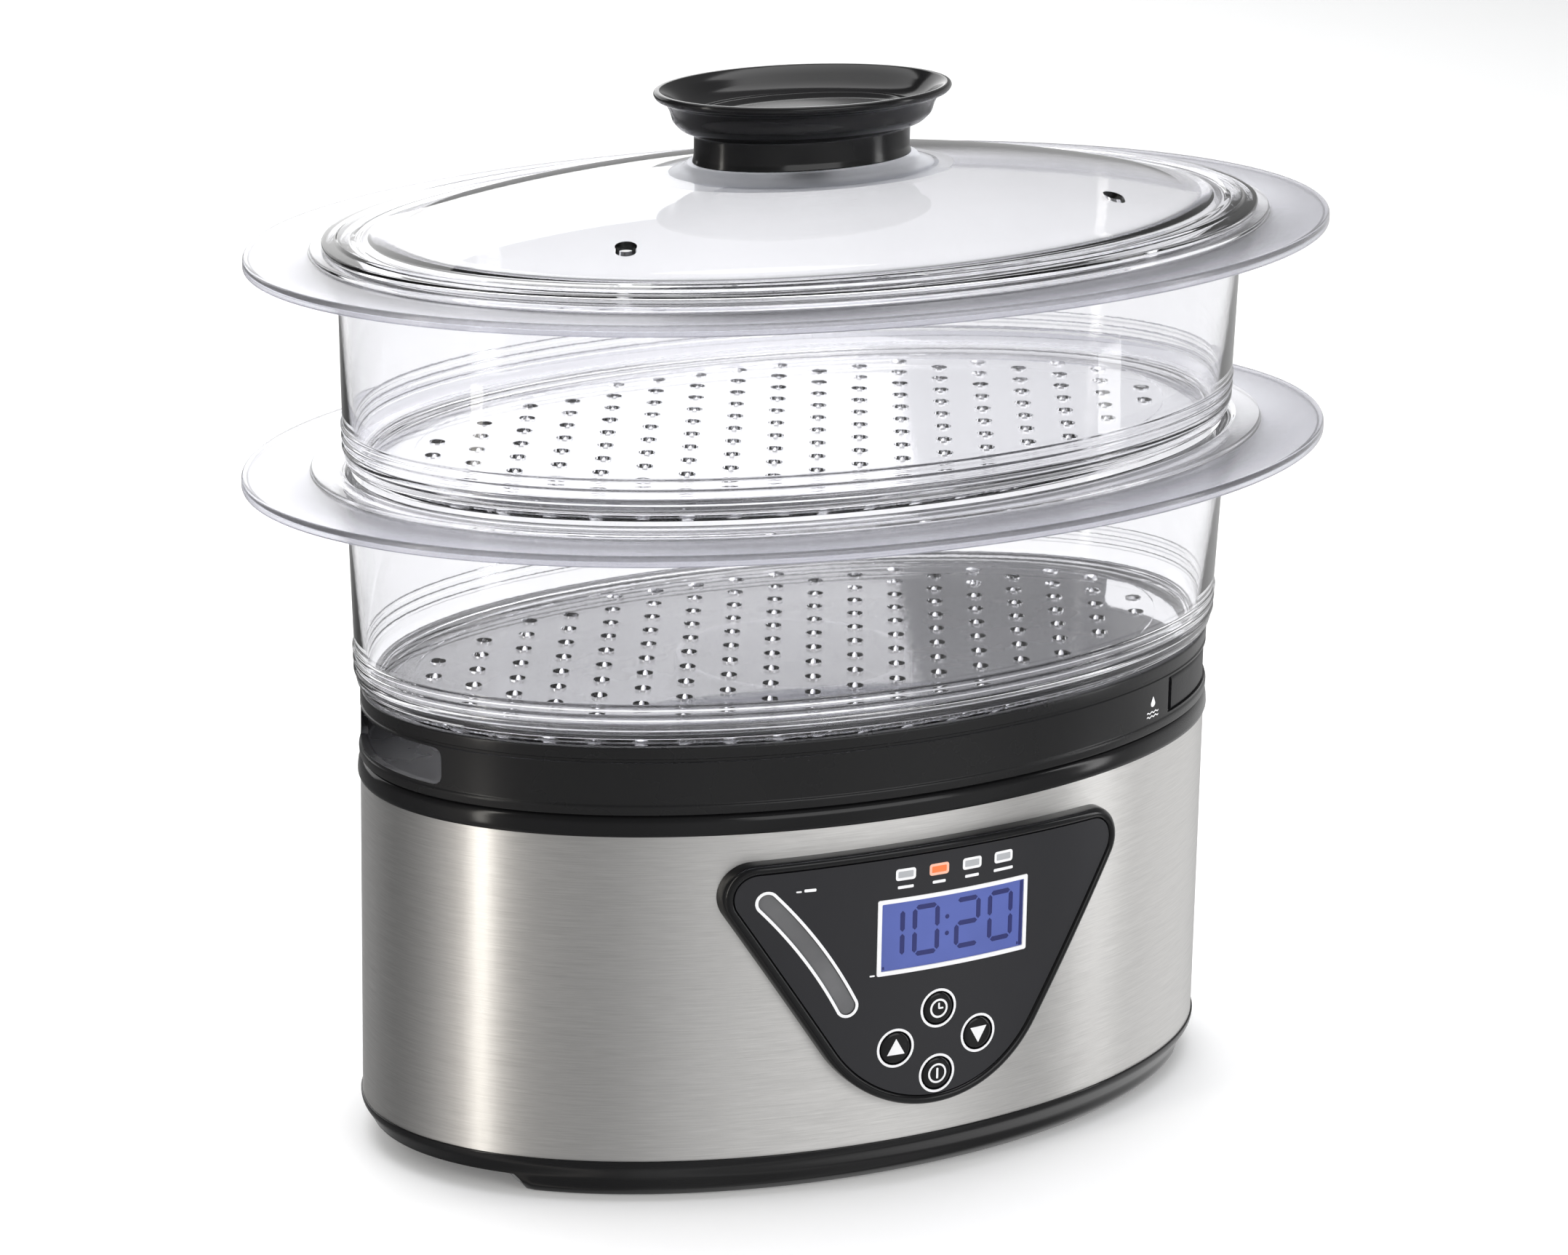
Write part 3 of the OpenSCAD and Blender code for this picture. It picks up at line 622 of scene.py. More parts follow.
white_ink = moulded("white_ink", (0.85, 0.85, 0.86), 0.5, mottle=0.06, scale=200, bump=0.03)
buttons = (delay_at, up_at, down_at, power_at)
printed(
    "face_print",
    [(round_line(x, z, 6.1), round_line(x, z, 5.35)) for x,
     z in buttons] + [(level_slot(3.6), level_slot(2.7))],
    [soft_box(x, light_z - 3.9, w, 0.9, 0.3) for x, w in zip(light_xs, (5.2, 4.4, 4.8, 7))]
    + [soft_box(-45.6, lobe_z + 1.2, 1.6, 0.5, 0.2), soft_box(-42.2, lobe_z + 1.4, 3.6, 0.9, 0.3),
       soft_box(-22.4, lobe_z - 27.6, 1.6, 0.5, 0.2), soft_box(-19.0, lobe_z - 27.4, 3.6, 0.9, 0.3)],
    face_out, white_ink, "base",
)

# ---- display ----
# A white frame round a blue backlit window, with dark segment digits behind its surface.
display_frame = plate("display_frame", soft_box(lcd_x, lcd_z, lcd_l, lcd_h, 0.6), 2.6, face_out + 0.25,
                      white_ink)
cut(display_frame, prism("window", soft_box(lcd_x, lcd_z, lcd_l - 2.6, lcd_h - 2.6, 0.4), -120, -30))
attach(display_frame, "base")
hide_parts("lcd_frame")

backlight = moulded("backlight", (0.07, 0.1, 0.34), 0.22, mottle=0.3, spread=0.05, scale=60, bump=0.01)
shader = backlight.node_tree.nodes["Principled BSDF"]
backlight.node_tree.links.new(
    backlight.node_tree.nodes["Group"].outputs["Color"], shader.inputs["Emission Color"]
)
shader.inputs["Emission Strength"].default_value = 0.2
window = plate("display_window", soft_box(lcd_x, lcd_z, lcd_l - 2.7, lcd_h - 2.7, 0.4), 2.6, face_out - 0.1,
               backlight)
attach(window, "base")
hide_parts("lcd_lens")


def segments(x, z, digit):
    """The bars of one segment digit, each with pointed ends."""
    w, h, t = 7.6, 14.4, 1.5
    lit = {"0": "abcdef", "1": "bc", "2": "abged"}[digit]
    ends = {
        "a": ((-w / 2, h / 2), (w / 2, h / 2)), "g": ((-w / 2, 0), (w / 2, 0)),
        "d": ((-w / 2, -h / 2), (w / 2, -h / 2)),
        "b": ((w / 2, h / 2), (w / 2, 0)), "c": ((w / 2, 0), (w / 2, -h / 2)),
        "f": ((-w / 2, h / 2), (-w / 2, 0)), "e": ((-w / 2, 0), (-w / 2, -h / 2)),
    }
    out = []
    for bar in lit:
        (x0, z0), (x1, z1) = ends[bar]
        length = math.hypot(x1 - x0, z1 - z0)
        ux, uz = (x1 - x0) / length, (z1 - z0) / length
        line = [(0.35, 0), (0.35 + t / 2, -t / 2), (length - 0.35 - t / 2, -t / 2), (length - 0.35, 0),
                (length - 0.35 - t / 2, t / 2), (0.35 + t / 2, t / 2)]
        out.append([(x + x0 + ux * a - uz * b, z + z0 + uz * a + ux * b) for a, b in line])
    return out


segment_blue = moulded("segment_blue", (0.012, 0.018, 0.13), 0.25, mottle=0.1, scale=100, bump=0.01)
bars = []
for x, digit in ((-16.6, "1"), (-4.9, "0"), (9.4, "2"), (21.2, "0")):
    bars += segments(x, lcd_z + 0.8, digit)
bars += [round_line(2.3, lcd_z + 3.6, 0.7, 12), round_line(2.3, lcd_z - 1.6, 0.7, 12)]
bars += [soft_box(lcd_x - 0.5, lcd_z - 9.5, 47.4, 0.9, 0.2), soft_box(lcd_x + 23.9, lcd_z, 1.1, 20.4, 0.3)]
digits = printed("display_digits", [], bars, face_out - 0.1, segment_blue, "base")

# ---- signal lights ----
# Four small frosted windows, each with a printed border. The second one glows while the food cooks, and the
# white ink round it is coloured orange as painted glow from that light.
frosted = moulded("frosted", (0.42, 0.43, 0.45), 0.4, mottle=0.15, scale=150, bump=0.05)
amber = moulded("amber", (0.8, 0.12, 0.03), 0.35, mottle=0.5, scale=300, bump=0.02)
shader = amber.node_tree.nodes["Principled BSDF"]
amber.node_tree.links.new(amber.node_tree.nodes["Group"].outputs["Color"], shader.inputs["Emission Color"])
shader.inputs["Emission Strength"].default_value = 0.9
for i, x in enumerate(light_xs):
    lens = plate("light_%d" % i, soft_box(x, light_z, 6.5, 3.5, 0.8), 2.6, face_out - 0.05,
                 amber if i == 1 else frosted)
    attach(lens, "base")
    if i == 1:
        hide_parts("cook_light")
    if i == 0:
        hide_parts("status_lights")
border = [(soft_box(x, light_z, 6.6, 3.6, 0.9), soft_box(x, light_z, 5.0, 2.0, 0.3)) for x in light_xs]
printed("light_borders", [border[0], border[2], border[3]], [], face_out - 0.05, white_ink, "base")
# The lit window's border: white ink painted orange, a painted glow from the light it surrounds.
printed("glow_painted_border", [border[1]], [], face_out - 0.05,
        moulded("glow_painted_ink", (0.95, 0.5, 0.36), 0.5, scale=200, bump=0.03), "base")

# ---- level window ----
# A smoky clear strip over the level tube, set a little below the face.
smoky = moulded("smoky_strip", (0.12, 0.12, 0.125), 0.25, mottle=0.9, spread=0.1, scale=45, bump=0.02)
strip = plate("level_strip", level_slot(2.58), 2.6, face_out - 0.35, smoky)
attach(strip, "base")
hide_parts("level_window")


# ---- buttons ----
# Four glossy black caps that follow the face, softly domed, each with its own white mark. A collar behind
# each cap keeps it in, and a stem reaches back to its switch.
def clock_mark(x, z):
    return [(round_line(x, z, 3.0), round_line(x, z, 2.35))], [soft_box(x, z + 0.8, 0.55, 1.9, 0.2),
            soft_box(x + 0.7, z, 1.6, 0.55, 0.2)]


marks = {
    "delay": clock_mark(*delay_at),
    "up": ([], [[(up_at[0] - 2.9, up_at[1] - 2), (up_at[0] + 2.9, up_at[1] - 2), (up_at[0], up_at[1] + 3)]]),
    "down": ([], [[(down_at[0], down_at[1] - 3), (down_at[0] + 2.9, down_at[1] + 2),
                   (down_at[0] - 2.9, down_at[1] + 2)]]),
    "power": ([(round_line(*power_at, 3.1), round_line(*power_at, 2.5))],
              [soft_box(power_at[0], power_at[1], 0.7, 3.4, 0.3)]),
}
for name, (x, z) in zip(("delay", "up", "down", "power"), buttons):
    steps = [(0, 0.32), (2.2, 0.3), (3.8, 0.22), (4.5, 0.1), (4.8, -0.15), (4.85, -0.6), (4.85, -3.0),
             (6.1, -3.0), (6.1, -4.2), (1.8, -4.2)]
    around = 64
    verts = [on_face(x, z, face_out + steps[0][1])]
    for r, lift in steps[1:]:
        verts += [on_face(x + r * math.cos(2 * math.pi * i / around),
                          z + r * math.sin(2 * math.pi * i / around), face_out + lift) for i in range(around)]
    stem_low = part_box(name + "_button")[1].y
    verts += [(px, stem_low, pz) for px, _, pz in verts[-around:]]
    faces = [(0, 1 + i, 1 + (i + 1) % around) for i in range(around)]
    for j in range(len(steps) - 1):
        a, b = 1 + j * around, 1 + (j + 1) * around
        faces += [(a + i, b + i, b + (i + 1) % around, a + (i + 1) % around) for i in range(around)]
    faces.append(tuple(1 + (len(steps) - 1) * around + i for i in range(around)))
    cap = piece_from(name + "_cap", verts, faces, black_gloss)
    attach(cap, name + "_button")
    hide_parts(name + "_button")
    printed(name + "_mark", *marks[name], face_out + 0.3, white_ink, name + "_button")

# ---- drip tray ----
# A black tray that stands on the rim and catches juices. Its skirt has a pouring window at each end, a
# raised band at the foot and a fine groove near the top. Steam comes up through the round chimney in its
# middle.
tray_low, tray_top = rim_top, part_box("lower_bowl")[0].z / mm + 5
tray = oval_solid(
    "tray",
    [
        at(-5.6, tray_low - 4.5, 0.6), at(-3.7, tray_low - 4.5, 0.6), at(-3.7, tray_low, 0.4),
        at(0.3, tray_low, 0.5),
        at(0.5, tray_low + 2.6, 0.7), at(0, tray_low + 3.2, 0.3), at(0, tray_low + 15.8),
        at(-0.35, tray_low + 16.1),
        at(-0.35, tray_low + 16.8), at(0, tray_low + 17.1), at(0, tray_top, 0.8), at(-2.2, tray_top, 0.6),
        at(-2.2, tray_low + 3.2, 1.6), (0.037, 0.037, (tray_low + 3.2) * mm, 0.0015),
        (0.036, 0.036, (tray_top - 5) * mm, 0.0006),
        (0.0338, 0.0338, (tray_top - 5) * mm, 0.0006), (0.0338, 0.0338, (tray_low + 1) * mm, 0.0004),
        at(-5.6, tray_low + 1, 1),
    ],
    moulded("tray_black", (0.009, 0.009, 0.0095), 0.27, mottle=0.2, spread=0.08, scale=40, bump=0.05,
            sheen=0.24),
)


def window_block(name, centre, size, radius):
    """A tool block with rounded corners, which cuts through an end of the skirt along x."""
    outline = soft_box(centre[1] / mm, centre[2] / mm, size[1] / mm, size[2] / mm, radius)
    count = len(outline)
    verts = [(centre[0] + s * size[0] / 2, y * mm, z * mm) for s in (-1, 1) for y, z in outline]
    faces = [tuple(range(count - 1, -1, -1)), tuple(range(count, 2 * count))]
    faces += [(i, (i + 1) % count, (i + 1) % count + count, i + count) for i in range(count)]
    mesh = bpy.data.meshes.new(name)
    mesh.from_pydata(verts, [], faces)
    block = bpy.data.objects.new(name, mesh)
    scene.collection.objects.link(block)
    return block


window_z = (tray_low + 3.9 + tray_low + 15.2) / 2 * mm
cut(tray, window_block("window", (-0.135, 0, window_z), (0.03, 0.0555, 0.0113), 2.6))
cut(tray, window_block("window", (0.126, -0.0185, window_z), (0.06, 0.0925, 0.0113), 2.6))
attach(tray, "drip_tray")
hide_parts("drip_tray")

# ---- fill spout ----
# A dark lip inside the right-hand window. Water poured on it runs down past the tray into the tub.
spout_black = moulded("spout_black", (0.009, 0.009, 0.01), 0.42, mottle=0.2, spread=0.1, scale=80, bump=0.1,
                      sheen=0.25)
spout = oval_solid(
    "spout",
    [
        at(-14.5, tray_low + 3.4), at(-1.2, tray_low + 3.6, 0.4), at(-0.5, tray_low + 4.4, 0.5),
        at(-0.5, tray_low + 13.6, 0.6),
        at(-1.4, tray_low + 14.6, 0.5), at(-2.6, tray_low + 14.6, 0.4), at(-3, tray_low + 7.6, 1.2),
        at(-12.4, tray_low + 7, 1.2),
        at(-12.6, tray_low + 14.6, 0.4), at(-14.5, tray_low + 14.6, 0.4),
    ],
    spout_black,
)
cut(spout, prism("spout_room", [(98.5, 120), (98.5, 145), (126, 145), (126, 120)], -90, -30), "INTERSECT")
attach(spout, "drip_tray")
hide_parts("fill_spout")

# ---- water mark ----
# A white printed drop over two small waves, on the skirt beside the spout.
drop_x, drop_z = 87.5, tray_low + 9.4
drop = [(drop_x + 1.15 * math.sin(t) * (1 if math.cos(t) < 0 else 1 - 0.75 * math.cos(t)),
         drop_z - 1.15 * math.cos(t + math.pi) * (1 if math.cos(t) < 0 else 1.9)) for t in
        [2 * math.pi * i / 28 for i in range(28)]][::-1]
waves = []
for row in range(2):
    level = drop_z - 2.6 - row * 1.3
    top_line = [(drop_x - 3 + 6 * i / 24, level + 0.22 * math.sin(i * math.pi / 4)) for i in range(25)]
    waves.append(top_line[::-1] + [(x, z - 0.4) for x, z in top_line])
printed("water_mark", [], [drop] + waves, 0, white_ink, "drip_tray")

# ---- lower bowl ----
# Clear hard plastic, moulded in one piece: a floor full of steam holes, a wall that widens slightly on the
# way up, and a wide carrying flange with a turned-down edge. A skirt under the floor drops inside the tray.
def clear_plastic(name, tint, rough):
    """Clear plastic with faint moulding haze. Shadow rays pass, so that light reaches what is inside."""
    mat = moulded(name, tint, rough, mottle=0.05, spread=0.02, scale=30, bump=0.01)
    nodes, links = mat.node_tree.nodes, mat.node_tree.links
    shader = nodes["Principled BSDF"]
    shader.inputs["Transmission Weight"].default_value = 1.0
    shader.inputs["IOR"].default_value = 1.35
    passing = nodes.new("ShaderNodeBsdfTransparent")
    passing.inputs["Color"].default_value = (0.93, 0.93, 0.94, 1)
    path = nodes.new("ShaderNodeLightPath")
    blend = nodes.new("ShaderNodeMixShader")
    links.new(path.outputs["Is Shadow Ray"], blend.inputs["Fac"])
    links.new(shader.outputs["BSDF"], blend.inputs[1])
    links.new(passing.outputs["BSDF"], blend.inputs[2])
    links.new(blend.outputs[0], nodes["Material Output"].inputs["Surface"])
    return mat


clear = clear_plastic("clear_plastic", (0.85, 0.85, 0.865), 0.03)
clear_flange = clear_plastic("clear_flange", (0.66, 0.66, 0.71), 0.2)


def bowl_section(seat, ledge, wall_low, wall_high, skirt, flange):
    """The section of a bowl, from the edge of its floor out and round. Heights are in millimetres."""
    deck = ledge - 1.5
    reach_x, reach_y = half_length + flange[0] * mm, half_width + flange[1] * mm

    def far(inset, height, radius=0.0):
        return (reach_x - inset * mm, reach_y - inset * mm, height * mm, radius * mm)

    ribs = []
    for k in range(3):
        z = seat + 5.4 + k * 3.1
        d = wall_low + 0.15 * k
        ribs += [at(d, z, 0.3), at(d + 0.55, z + 0.4, 0.3), at(d + 0.55, z + 1.3, 0.3),
                 at(d + 0.05, z + 1.8, 0.3)]
    return [
        at(-16, seat), at(skirt - 2, seat, 0.5), at(skirt - 2, seat - 5, 0.6), at(skirt, seat - 5, 0.6),
        at(skirt, seat, 0.3),
        at(wall_low - 3.2, seat, 0.6), at(wall_low - 0.6, seat + 1.6, 2.2), at(wall_low, seat + 4.6, 0.8),
        *ribs,
        at(wall_high, deck - 2, 2.2), far(2, deck - 2, 0.5), far(2, deck - 3.4, 0.4), far(0, deck - 3.4, 0.7),
        far(0, deck, 1.3), at(14.2, deck, 0.5), at(14, ledge, 0.6), at(wall_high + 2.4, ledge, 0.5),
        at(wall_high + 1.4, ledge - 0.8, 0.5), at(wall_high - 2, ledge - 0.9, 1.0),
        at(wall_low - 2.2, seat + 6, 1.5),
        at(wall_low - 4.5, seat + 2, 2.5), at(-16, seat + 2),
    ]


def perforated_floor():
    """Geometry nodes: an oval plate with staggered round holes, filled between its curves and given its
    thickness."""
    group = bpy.data.node_groups.new("perforated_floor", "GeometryNodeTree")
    face = group.interface
    face.new_socket("Geometry", in_out="INPUT", socket_type="NodeSocketGeometry")
    for label in ("Half Length", "Half Width", "Height", "Thickness", "Hole Radius", "Pitch", "Border"):
        face.new_socket(label, in_out="INPUT", socket_type="NodeSocketFloat")
    face.new_socket("Material", in_out="INPUT", socket_type="NodeSocketMaterial")
    face.new_socket("Geometry", in_out="OUTPUT", socket_type="NodeSocketGeometry")
    nodes, links = group.nodes, group.links
    inp, out = nodes.new("NodeGroupInput"), nodes.new("NodeGroupOutput")

    def calc(how, a, b=None, c=None):
        node = nodes.new("ShaderNodeMath")
        node.operation = how
        for socket, value in zip(node.inputs, (a, b, c)):
            if value is None:
                continue
            if isinstance(value, (int, float)):
                socket.default_value = value
            else:
                links.new(value, socket)
        return node.outputs[0]

    def vector(x, y, z):
        node = nodes.new("ShaderNodeCombineXYZ")
        for socket, value in zip(node.inputs, (x, y, z)):
            if isinstance(value, (int, float)):
                socket.default_value = value
            else:
                links.new(value, socket)
        return node.outputs[0]

    grid = nodes.new("GeometryNodeMeshGrid")
    grid.inputs["Vertices X"].default_value = 21
    grid.inputs["Vertices Y"].default_value = 15
    links.new(calc("MULTIPLY", inp.outputs["Pitch"], 20), grid.inputs["Size X"])
    links.new(calc("MULTIPLY", inp.outputs["Pitch"], 12.12), grid.inputs["Size Y"])
    number = nodes.new("GeometryNodeInputIndex").outputs[0]
    odd = calc("MODULO", calc("MODULO", number, 15), 2)
    shift = nodes.new("GeometryNodeSetPosition")
    links.new(grid.outputs["Mesh"], shift.inputs["Geometry"])
    links.new(vector(calc("MULTIPLY", calc("MULTIPLY", odd, 0.5), inp.outputs["Pitch"]), 0, 0),
              shift.inputs["Offset"])
    split = nodes.new("ShaderNodeSeparateXYZ")
    links.new(nodes.new("GeometryNodeInputPosition").outputs[0], split.inputs[0])
    reach_x = calc("SUBTRACT", inp.outputs["Half Length"], inp.outputs["Border"])
    reach_y = calc("SUBTRACT", inp.outputs["Half Width"], inp.outputs["Border"])
    along = calc("POWER", calc("DIVIDE", split.outputs["X"], reach_x), 2)
    across = calc("POWER", calc("DIVIDE", split.outputs["Y"], reach_y), 2)
    outside = calc("GREATER_THAN", calc("ADD", along, across), 1)
    drop_points = nodes.new("GeometryNodeDeleteGeometry")
    links.new(shift.outputs[0], drop_points.inputs["Geometry"])
    links.new(outside, drop_points.inputs["Selection"])
    hole = nodes.new("GeometryNodeCurvePrimitiveCircle")
    hole.inputs["Resolution"].default_value = 18
    links.new(inp.outputs["Hole Radius"], hole.inputs["Radius"])
    holes = nodes.new("GeometryNodeInstanceOnPoints")
    links.new(drop_points.outputs[0], holes.inputs["Points"])
    links.new(hole.outputs[0], holes.inputs["Instance"])
    made = nodes.new("GeometryNodeRealizeInstances")
    links.new(holes.outputs[0], made.inputs[0])
    edge = nodes.new("GeometryNodeCurvePrimitiveCircle")
    edge.inputs["Resolution"].default_value = 240
    edge.inputs["Radius"].default_value = 1
    oval = nodes.new("GeometryNodeTransform")
    links.new(edge.outputs[0], oval.inputs["Geometry"])
    links.new(vector(inp.outputs["Half Length"], inp.outputs["Half Width"], 1), oval.inputs["Scale"])
    joined = nodes.new("GeometryNodeJoinGeometry")
    links.new(oval.outputs[0], joined.inputs[0])
    links.new(made.outputs[0], joined.inputs[0])
    fill = nodes.new("GeometryNodeFillCurve")
    links.new(joined.outputs[0], fill.inputs["Curve"])
    thick = nodes.new("GeometryNodeExtrudeMesh")
    thick.inputs["Individual"].default_value = False
    links.new(fill.outputs[0], thick.inputs["Mesh"])
    links.new(vector(0, 0, 1), thick.inputs["Offset"])
    links.new(inp.outputs["Thickness"], thick.inputs["Offset Scale"])
    under = nodes.new("GeometryNodeFlipFaces")
    links.new(fill.outputs[0], under.inputs["Mesh"])
    whole = nodes.new("GeometryNodeJoinGeometry")
    links.new(thick.outputs[0], whole.inputs[0])
    links.new(under.outputs[0], whole.inputs[0])
    weld = nodes.new("GeometryNodeMergeByDistance")
    weld.inputs["Distance"].default_value = 0.00001
    links.new(whole.outputs[0], weld.inputs["Geometry"])
    raised = nodes.new("GeometryNodeTransform")
    links.new(weld.outputs[0], raised.inputs["Geometry"])
    links.new(vector(0, 0, inp.outputs["Height"]), raised.inputs["Translation"])
    dressed = nodes.new("GeometryNodeSetMaterial")
    links.new(raised.outputs[0], dressed.inputs["Geometry"])
    links.new(inp.outputs["Material"], dressed.inputs["Material"])
    links.new(dressed.outputs[0], out.inputs[0])
    return group


floor_tree = perforated_floor()


def second_finish(piece, mat, chosen):
    """Gives the faces whose middle passes the test another finish."""
    piece.data.materials.append(mat)
    for face in piece.data.polygons:
        if chosen(face.center):
            face.material_index = 1


def on_flange(p):
    """Is this point out on the carrying flange, past the ledge?"""
    return (p.x / (half_length + 0.0145)) ** 2 + (p.y / (half_width + 0.0145)) ** 2 > 1


def joined_with_floor(bowl, height):
    """Fits the perforated floor into the bowl's open middle and makes the two one mesh."""
    holder = bpy.data.objects.new("floor_plate", bpy.data.meshes.new("floor_plate"))
    scene.collection.objects.link(holder)
    modifier = holder.modifiers.new("perforated", "NODES")
    modifier.node_group = floor_tree
    values = {"Half Length": half_length - 0.016, "Half Width": half_width - 0.016, "Height": height * mm,
              "Thickness": 0.002,
              "Hole Radius": 0.0025, "Pitch": 0.0145, "Border": 0.005, "Material": bowl.data.materials[0]}
    for item in floor_tree.interface.items_tree:
        if item.in_out == "INPUT" and item.name in values:
            modifier[item.identifier] = values[item.name]
    plate_mesh = bpy.data.meshes.new_from_object(holder.evaluated_get(bpy.context.evaluated_depsgraph_get()))
    verts = [tuple(v.co) for v in bowl.data.vertices]
    faces = [tuple(p.vertices) for p in bowl.data.polygons]
    base = len(verts)
    verts += [tuple(v.co) for v in plate_mesh.vertices]
    faces += [tuple(base + i for i in p.vertices) for p in plate_mesh.polygons]
    name, mat = bowl.name, bowl.data.materials[0]
    bpy.data.objects.remove(holder)
    bpy.data.objects.remove(bowl)
    return piece_from(name, verts, faces, mat)


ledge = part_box("lower_bowl")[1].z / mm
lower = oval_solid("lower_bowl_clear", bowl_section(tray_top, ledge, 1.4, 3.9, -3.6, (35, 31)), clear)
lower = joined_with_floor(lower, tray_top)
second_finish(lower, clear_flange, on_flange)
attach(lower, "lower_bowl")
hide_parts("lower_bowl")

# ---- upper bowl ----
# The same moulding a little wider, so that it stands on the lower bowl's ledge with its skirt inside it.
upper_seat, upper_ledge = ledge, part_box("upper_bowl")[1].z / mm
upper = oval_solid("upper_bowl_clear", bowl_section(upper_seat, upper_ledge, 4.4, 6.0, -0.6, (34, 29)), clear)
upper = joined_with_floor(upper, upper_seat)
second_finish(upper, clear_flange, on_flange)
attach(upper, "upper_bowl")
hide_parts("upper_bowl")

# ---- lid ----
# A thin clear dome with a stepped rim, two steam holes near the front, and a solid flared seat under the
# knob.
lid_rim, lid_seat = upper_ledge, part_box("lid_knob")[0].z / mm
dome_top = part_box("lid")[1].z / mm - 2


def domed(t, drop):
    """A ring of the dome at the share t of its size, drop below its outer surface."""
    return ((half_length - 0.003) * t - drop * mm * (t > 0.1),
            (half_width - 0.003) * t - drop * mm * (t > 0.1),
            (lid_rim + 2.6 + (dome_top - lid_rim - 2.6) * (1 - t ** 2.4) - drop) * mm, 0)


outer_dome = [domed(1 - i / 16, 0) for i in range(1, 12)]
inner_dome = [domed(1 - i / 16, 2) for i in range(16)][::-1]
boss_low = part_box("knob_seal")[1].z
lid = oval_solid(
    "lid_clear",
    [
        at(0.2, lid_rim - 5, 0.5), at(1.8, lid_rim - 5, 0.5), at(1.8, lid_rim, 0.3), at(10.5, lid_rim, 0.7),
        at(10.5, lid_rim + 2, 1.0), at(6.4, lid_rim + 2.2, 0.6), at(5.6, lid_rim + 3.1, 0.6),
        at(1.2, lid_rim + 3.2, 0.8),
        at(-0.6, lid_rim + 2.7, 0.8), at(-3, lid_rim + 2.9, 0.4), *outer_dome,
        (0.0445, 0.0295, 0.001 * (dome_top - 1.6), 0.0015), (0.0385, 0.0242, (lid_seat - 1.4) * mm, 0.0015),
        (0.0372, 0.0228, lid_seat * mm, 0.0004), (0.0022, 0.0022, lid_seat * mm, 0),
        (0.0022, 0.0022, boss_low, 0),
        (0.007, 0.007, boss_low, 0.0005), (0.007, 0.007, (lid_seat - 5) * mm, 0.001), *inner_dome[2:],
        at(-3.4, lid_rim + 0.8, 0.6), at(0.2, lid_rim + 0.2, 0.8),
    ],
    clear_plastic("clear_lid", (0.87, 0.87, 0.89), 0.03),
)
for x in (-0.082, 0.082):
    bore = [(x + 0.0032 * math.cos(i * math.pi / 16),
             -0.044 + 0.0032 * math.sin(i * math.pi / 16)) for i in range(32)]
    verts = [(px, py, z) for z in (0.26, 0.3) for px, py in bore]
    faces = [tuple(range(31, -1, -1)), tuple(range(32, 64))] + [(i, (i + 1) % 32, (i + 1) % 32 + 32,
            i + 32) for i in range(32)]
    mesh = bpy.data.meshes.new("bore")
    mesh.from_pydata(verts, [], faces)
    block = bpy.data.objects.new("bore", mesh)
    scene.collection.objects.link(block)
    cut(lid, block)
frosted_seat = clear_plastic("frosted_seat", (0.74, 0.75, 0.78), 0.45)
second_finish(lid, frosted_seat, lambda p: (p.x / 0.0455) ** 2 + (p.y / 0.0305) ** 2 < 1)
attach(lid, "lid")
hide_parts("lid")

# ---- knob ----
# A glossy black oval dish on a hollow neck, with a rolled rim and a rounded step under it. One screw from
# inside the lid holds it.
knob_a, knob_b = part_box("lid_knob")[1].x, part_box("lid_knob")[1].y
knob_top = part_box("lid_knob")[1].z / mm


def dish(inset, height, radius=0.0):
    return (knob_a - inset * mm, knob_b - inset * mm, height * mm, radius * mm)


knob = oval_solid(
    "knob",
    [
        (0.002, 0.002, (lid_seat + 9) * mm, 0), (0.002, 0.002, lid_seat * mm, 0),
        (0.0075, 0.0075, lid_seat * mm, 0.0003),
        (0.0075, 0.0075, (lid_seat + 7) * mm, 0.001), (0.0327, 0.0179, (lid_seat + 7) * mm, 0.001),
        (0.0327, 0.0179, lid_seat * mm, 0.0003), (0.0357, 0.0209, lid_seat * mm, 0.0006),
        (0.0351, 0.0203, (lid_seat + 2) * mm, 0.0008), (0.0351, 0.0203, (lid_seat + 8.4) * mm, 0.0006),
        (0.0362, 0.0214, (lid_seat + 9.2) * mm, 0.0006), dish(8.6, lid_seat + 9.8, 1.6),
        dish(5.8, lid_seat + 12.6, 1.4),
        dish(5.2, lid_seat + 15.4, 1.6), dish(3.6, knob_top - 3.4, 1.0), dish(0.9, knob_top - 2.5, 0.9),
        dish(0, knob_top - 1.1, 0.8), dish(0.5, knob_top - 0.1, 0.6), dish(1.9, knob_top, 0.8),
        dish(4.4, knob_top - 1.4, 2),
        dish(8.6, knob_top - 5.2, 2.5), dish(12.4, knob_top - 6.6, 1.5), dish(14.2, knob_top - 6.3, 0.8),
        dish(17.5, knob_top - 7.4, 2), (0.012, 0.006, (knob_top - 8.2) * mm, 0.003),
        (0.002, 0.001, (knob_top - 8.3) * mm, 0),
    ],
    black_gloss,
)
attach(knob, "lid")
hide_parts("lid_knob")

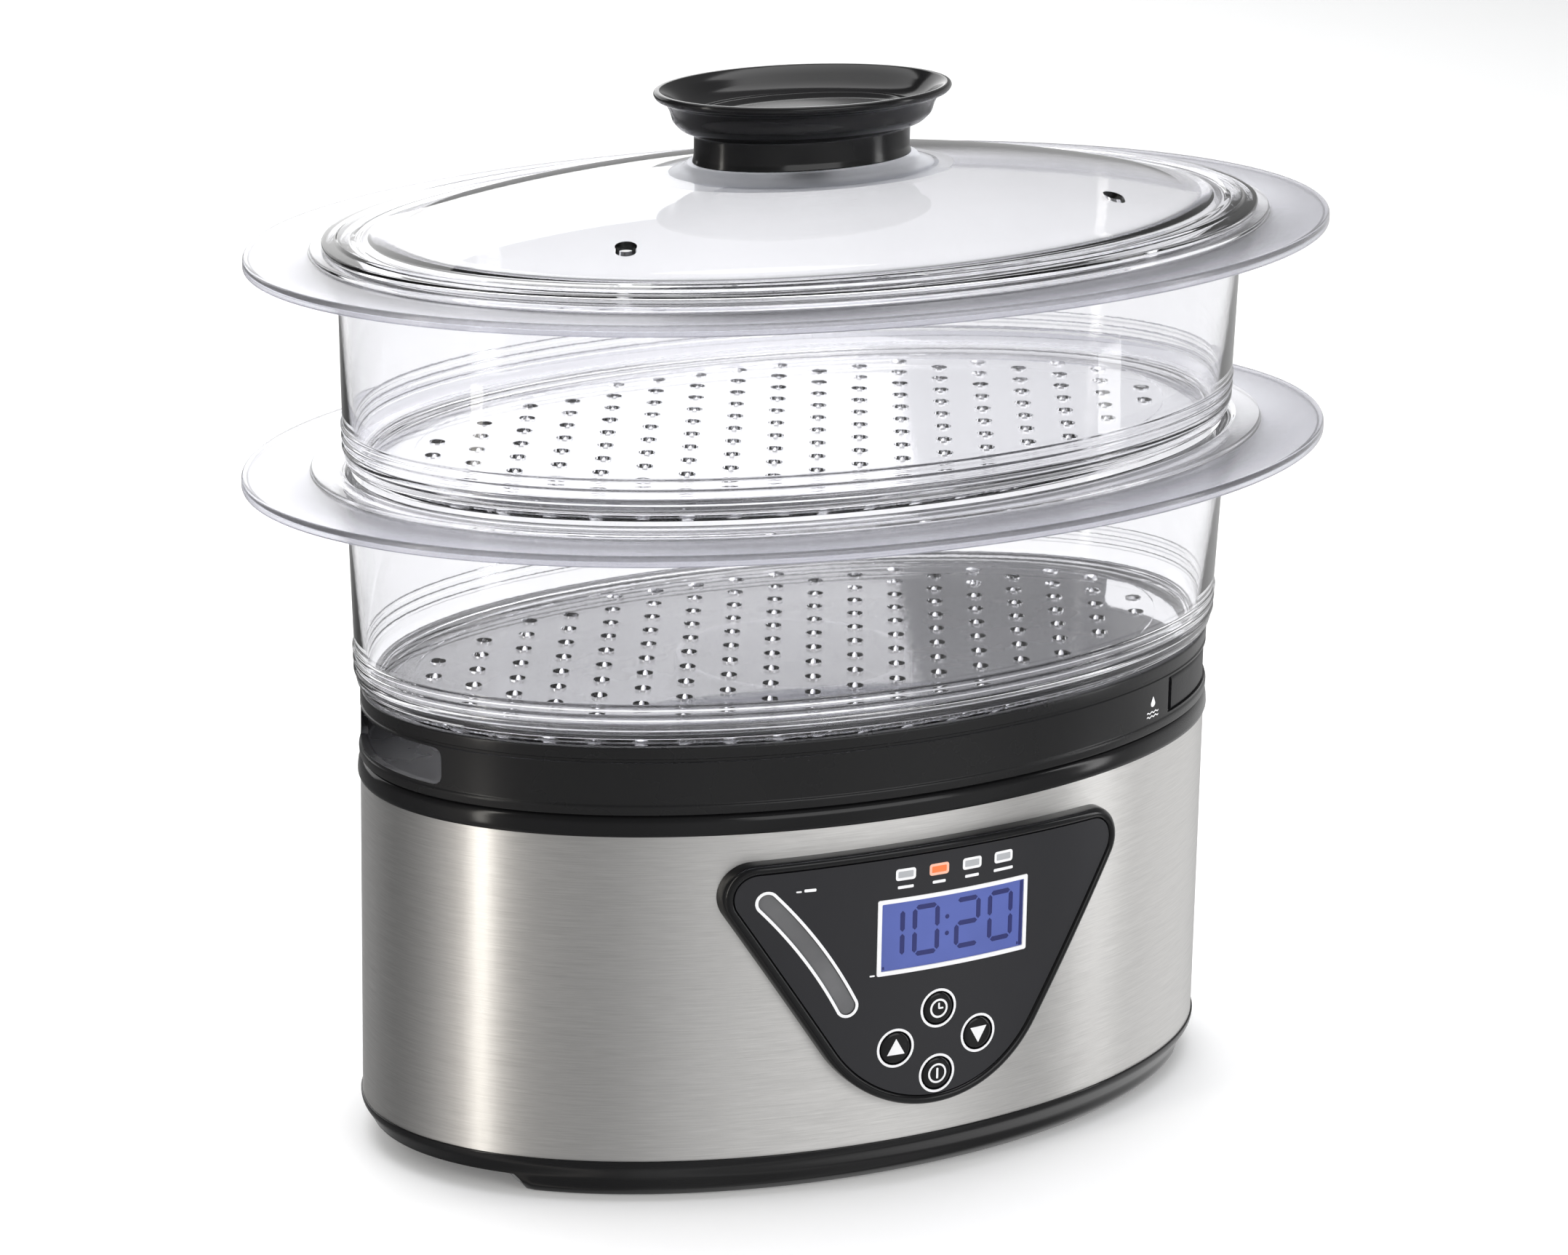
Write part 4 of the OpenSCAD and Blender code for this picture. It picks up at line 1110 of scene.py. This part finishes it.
# ---- water tub and heater ----
# The black tub hangs by its flange in the rim. Under its floor a cast heater is clamped up through a hole,
# and a ring standing round the plate keeps the boiling water over it.
satin_tub = moulded("tub_satin", (0.03, 0.03, 0.032), 0.45, mottle=0.25, spread=0.12, scale=50, bump=0.12)
bare_steel = moulded(
    "heater_steel", (0.62, 0.6, 0.57), 0.34, mottle=0.35, spread=0.2, scale=120, bump=0.08, metallic=1.0,
    group=brush_group
)
cast_alloy = moulded("cast_alloy", (0.52, 0.53, 0.54), 0.5, mottle=0.25, spread=0.2, scale=120, bump=0.4,
                     metallic=1.0)
zinc = moulded("zinc_plate", (0.62, 0.63, 0.62), 0.32, mottle=0.2, spread=0.15, scale=200, bump=0.1,
               metallic=1.0)
heat_tint = moulded("heat_tint", (0.28, 0.22, 0.18), 0.4, mottle=0.6, spread=0.2, scale=90, bump=0.1,
                    metallic=1.0)
red_silicone = moulded("red_silicone", (0.42, 0.1, 0.06), 0.6, mottle=0.2, spread=0.1, scale=150, bump=0.2)
dark_rubber = moulded("dark_rubber", (0.02, 0.02, 0.021), 0.7, mottle=0.3, spread=0.1, scale=180, bump=0.3)


def dress(mat, *names):
    """Gives CAD nodes whose shape is right their finish."""
    for name in names:
        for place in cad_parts[name].material_slots:
            place.material = mat


dress(satin_tub, "water_tub", "steam_ring")
dress(bare_steel, "heater_plate")
dress(cast_alloy, "heater_body")
dress(heat_tint, "heating_element")
dress(zinc, "heater_clamp", "heater_screws", "cover_screws", "power_board_screws", "control_board_screws",
      "knob_screw")
dress(red_silicone, "heater_gasket", "level_hose")
dress(dark_rubber, "rubber_feet", "cord_gland", "knob_seal")

# ---- parts shut inside the base ----
# Boards, relay, transformer, terminals, switches, cut-out and wires. They only show when the steamer is
# taken apart.
solder_mask = moulded("solder_mask", (0.015, 0.11, 0.045), 0.35, mottle=0.5, spread=0.15, scale=160, bump=0.2)
dark_case = moulded("dark_case", (0.03, 0.035, 0.045), 0.5, mottle=0.2, spread=0.1, scale=140, bump=0.15)
blue_case = moulded("relay_blue", (0.02, 0.07, 0.3), 0.35, mottle=0.15, spread=0.1, scale=120, bump=0.1)
wrap_yellow = moulded("wrap_yellow", (0.6, 0.42, 0.08), 0.45, mottle=0.2, spread=0.1, scale=120, bump=0.15)
block_green = moulded("block_green", (0.04, 0.22, 0.08), 0.45, mottle=0.2, spread=0.1, scale=140, bump=0.15)
bakelite = moulded("bakelite", (0.07, 0.045, 0.035), 0.4, mottle=0.5, spread=0.15, scale=130, bump=0.15)
sleeve_white = moulded("sleeve_white", (0.7, 0.67, 0.6), 0.55, mottle=0.15, spread=0.1, scale=300, bump=0.2)
wire_red = moulded("wire_red", (0.45, 0.03, 0.02), 0.45, mottle=0.15, spread=0.1, scale=300, bump=0.1)
dress(solder_mask, "power_board", "control_board")
dress(dark_case, "tact_switches", "lcd_module")
dress(blue_case, "power_relay")
dress(wrap_yellow, "power_transformer")
dress(block_green, "terminal_block")
dress(bakelite, "thermostat")
dress(sleeve_white, "thermal_fuse")
dress(wire_red, "heater_leads")
dress(clear, "level_chamber")
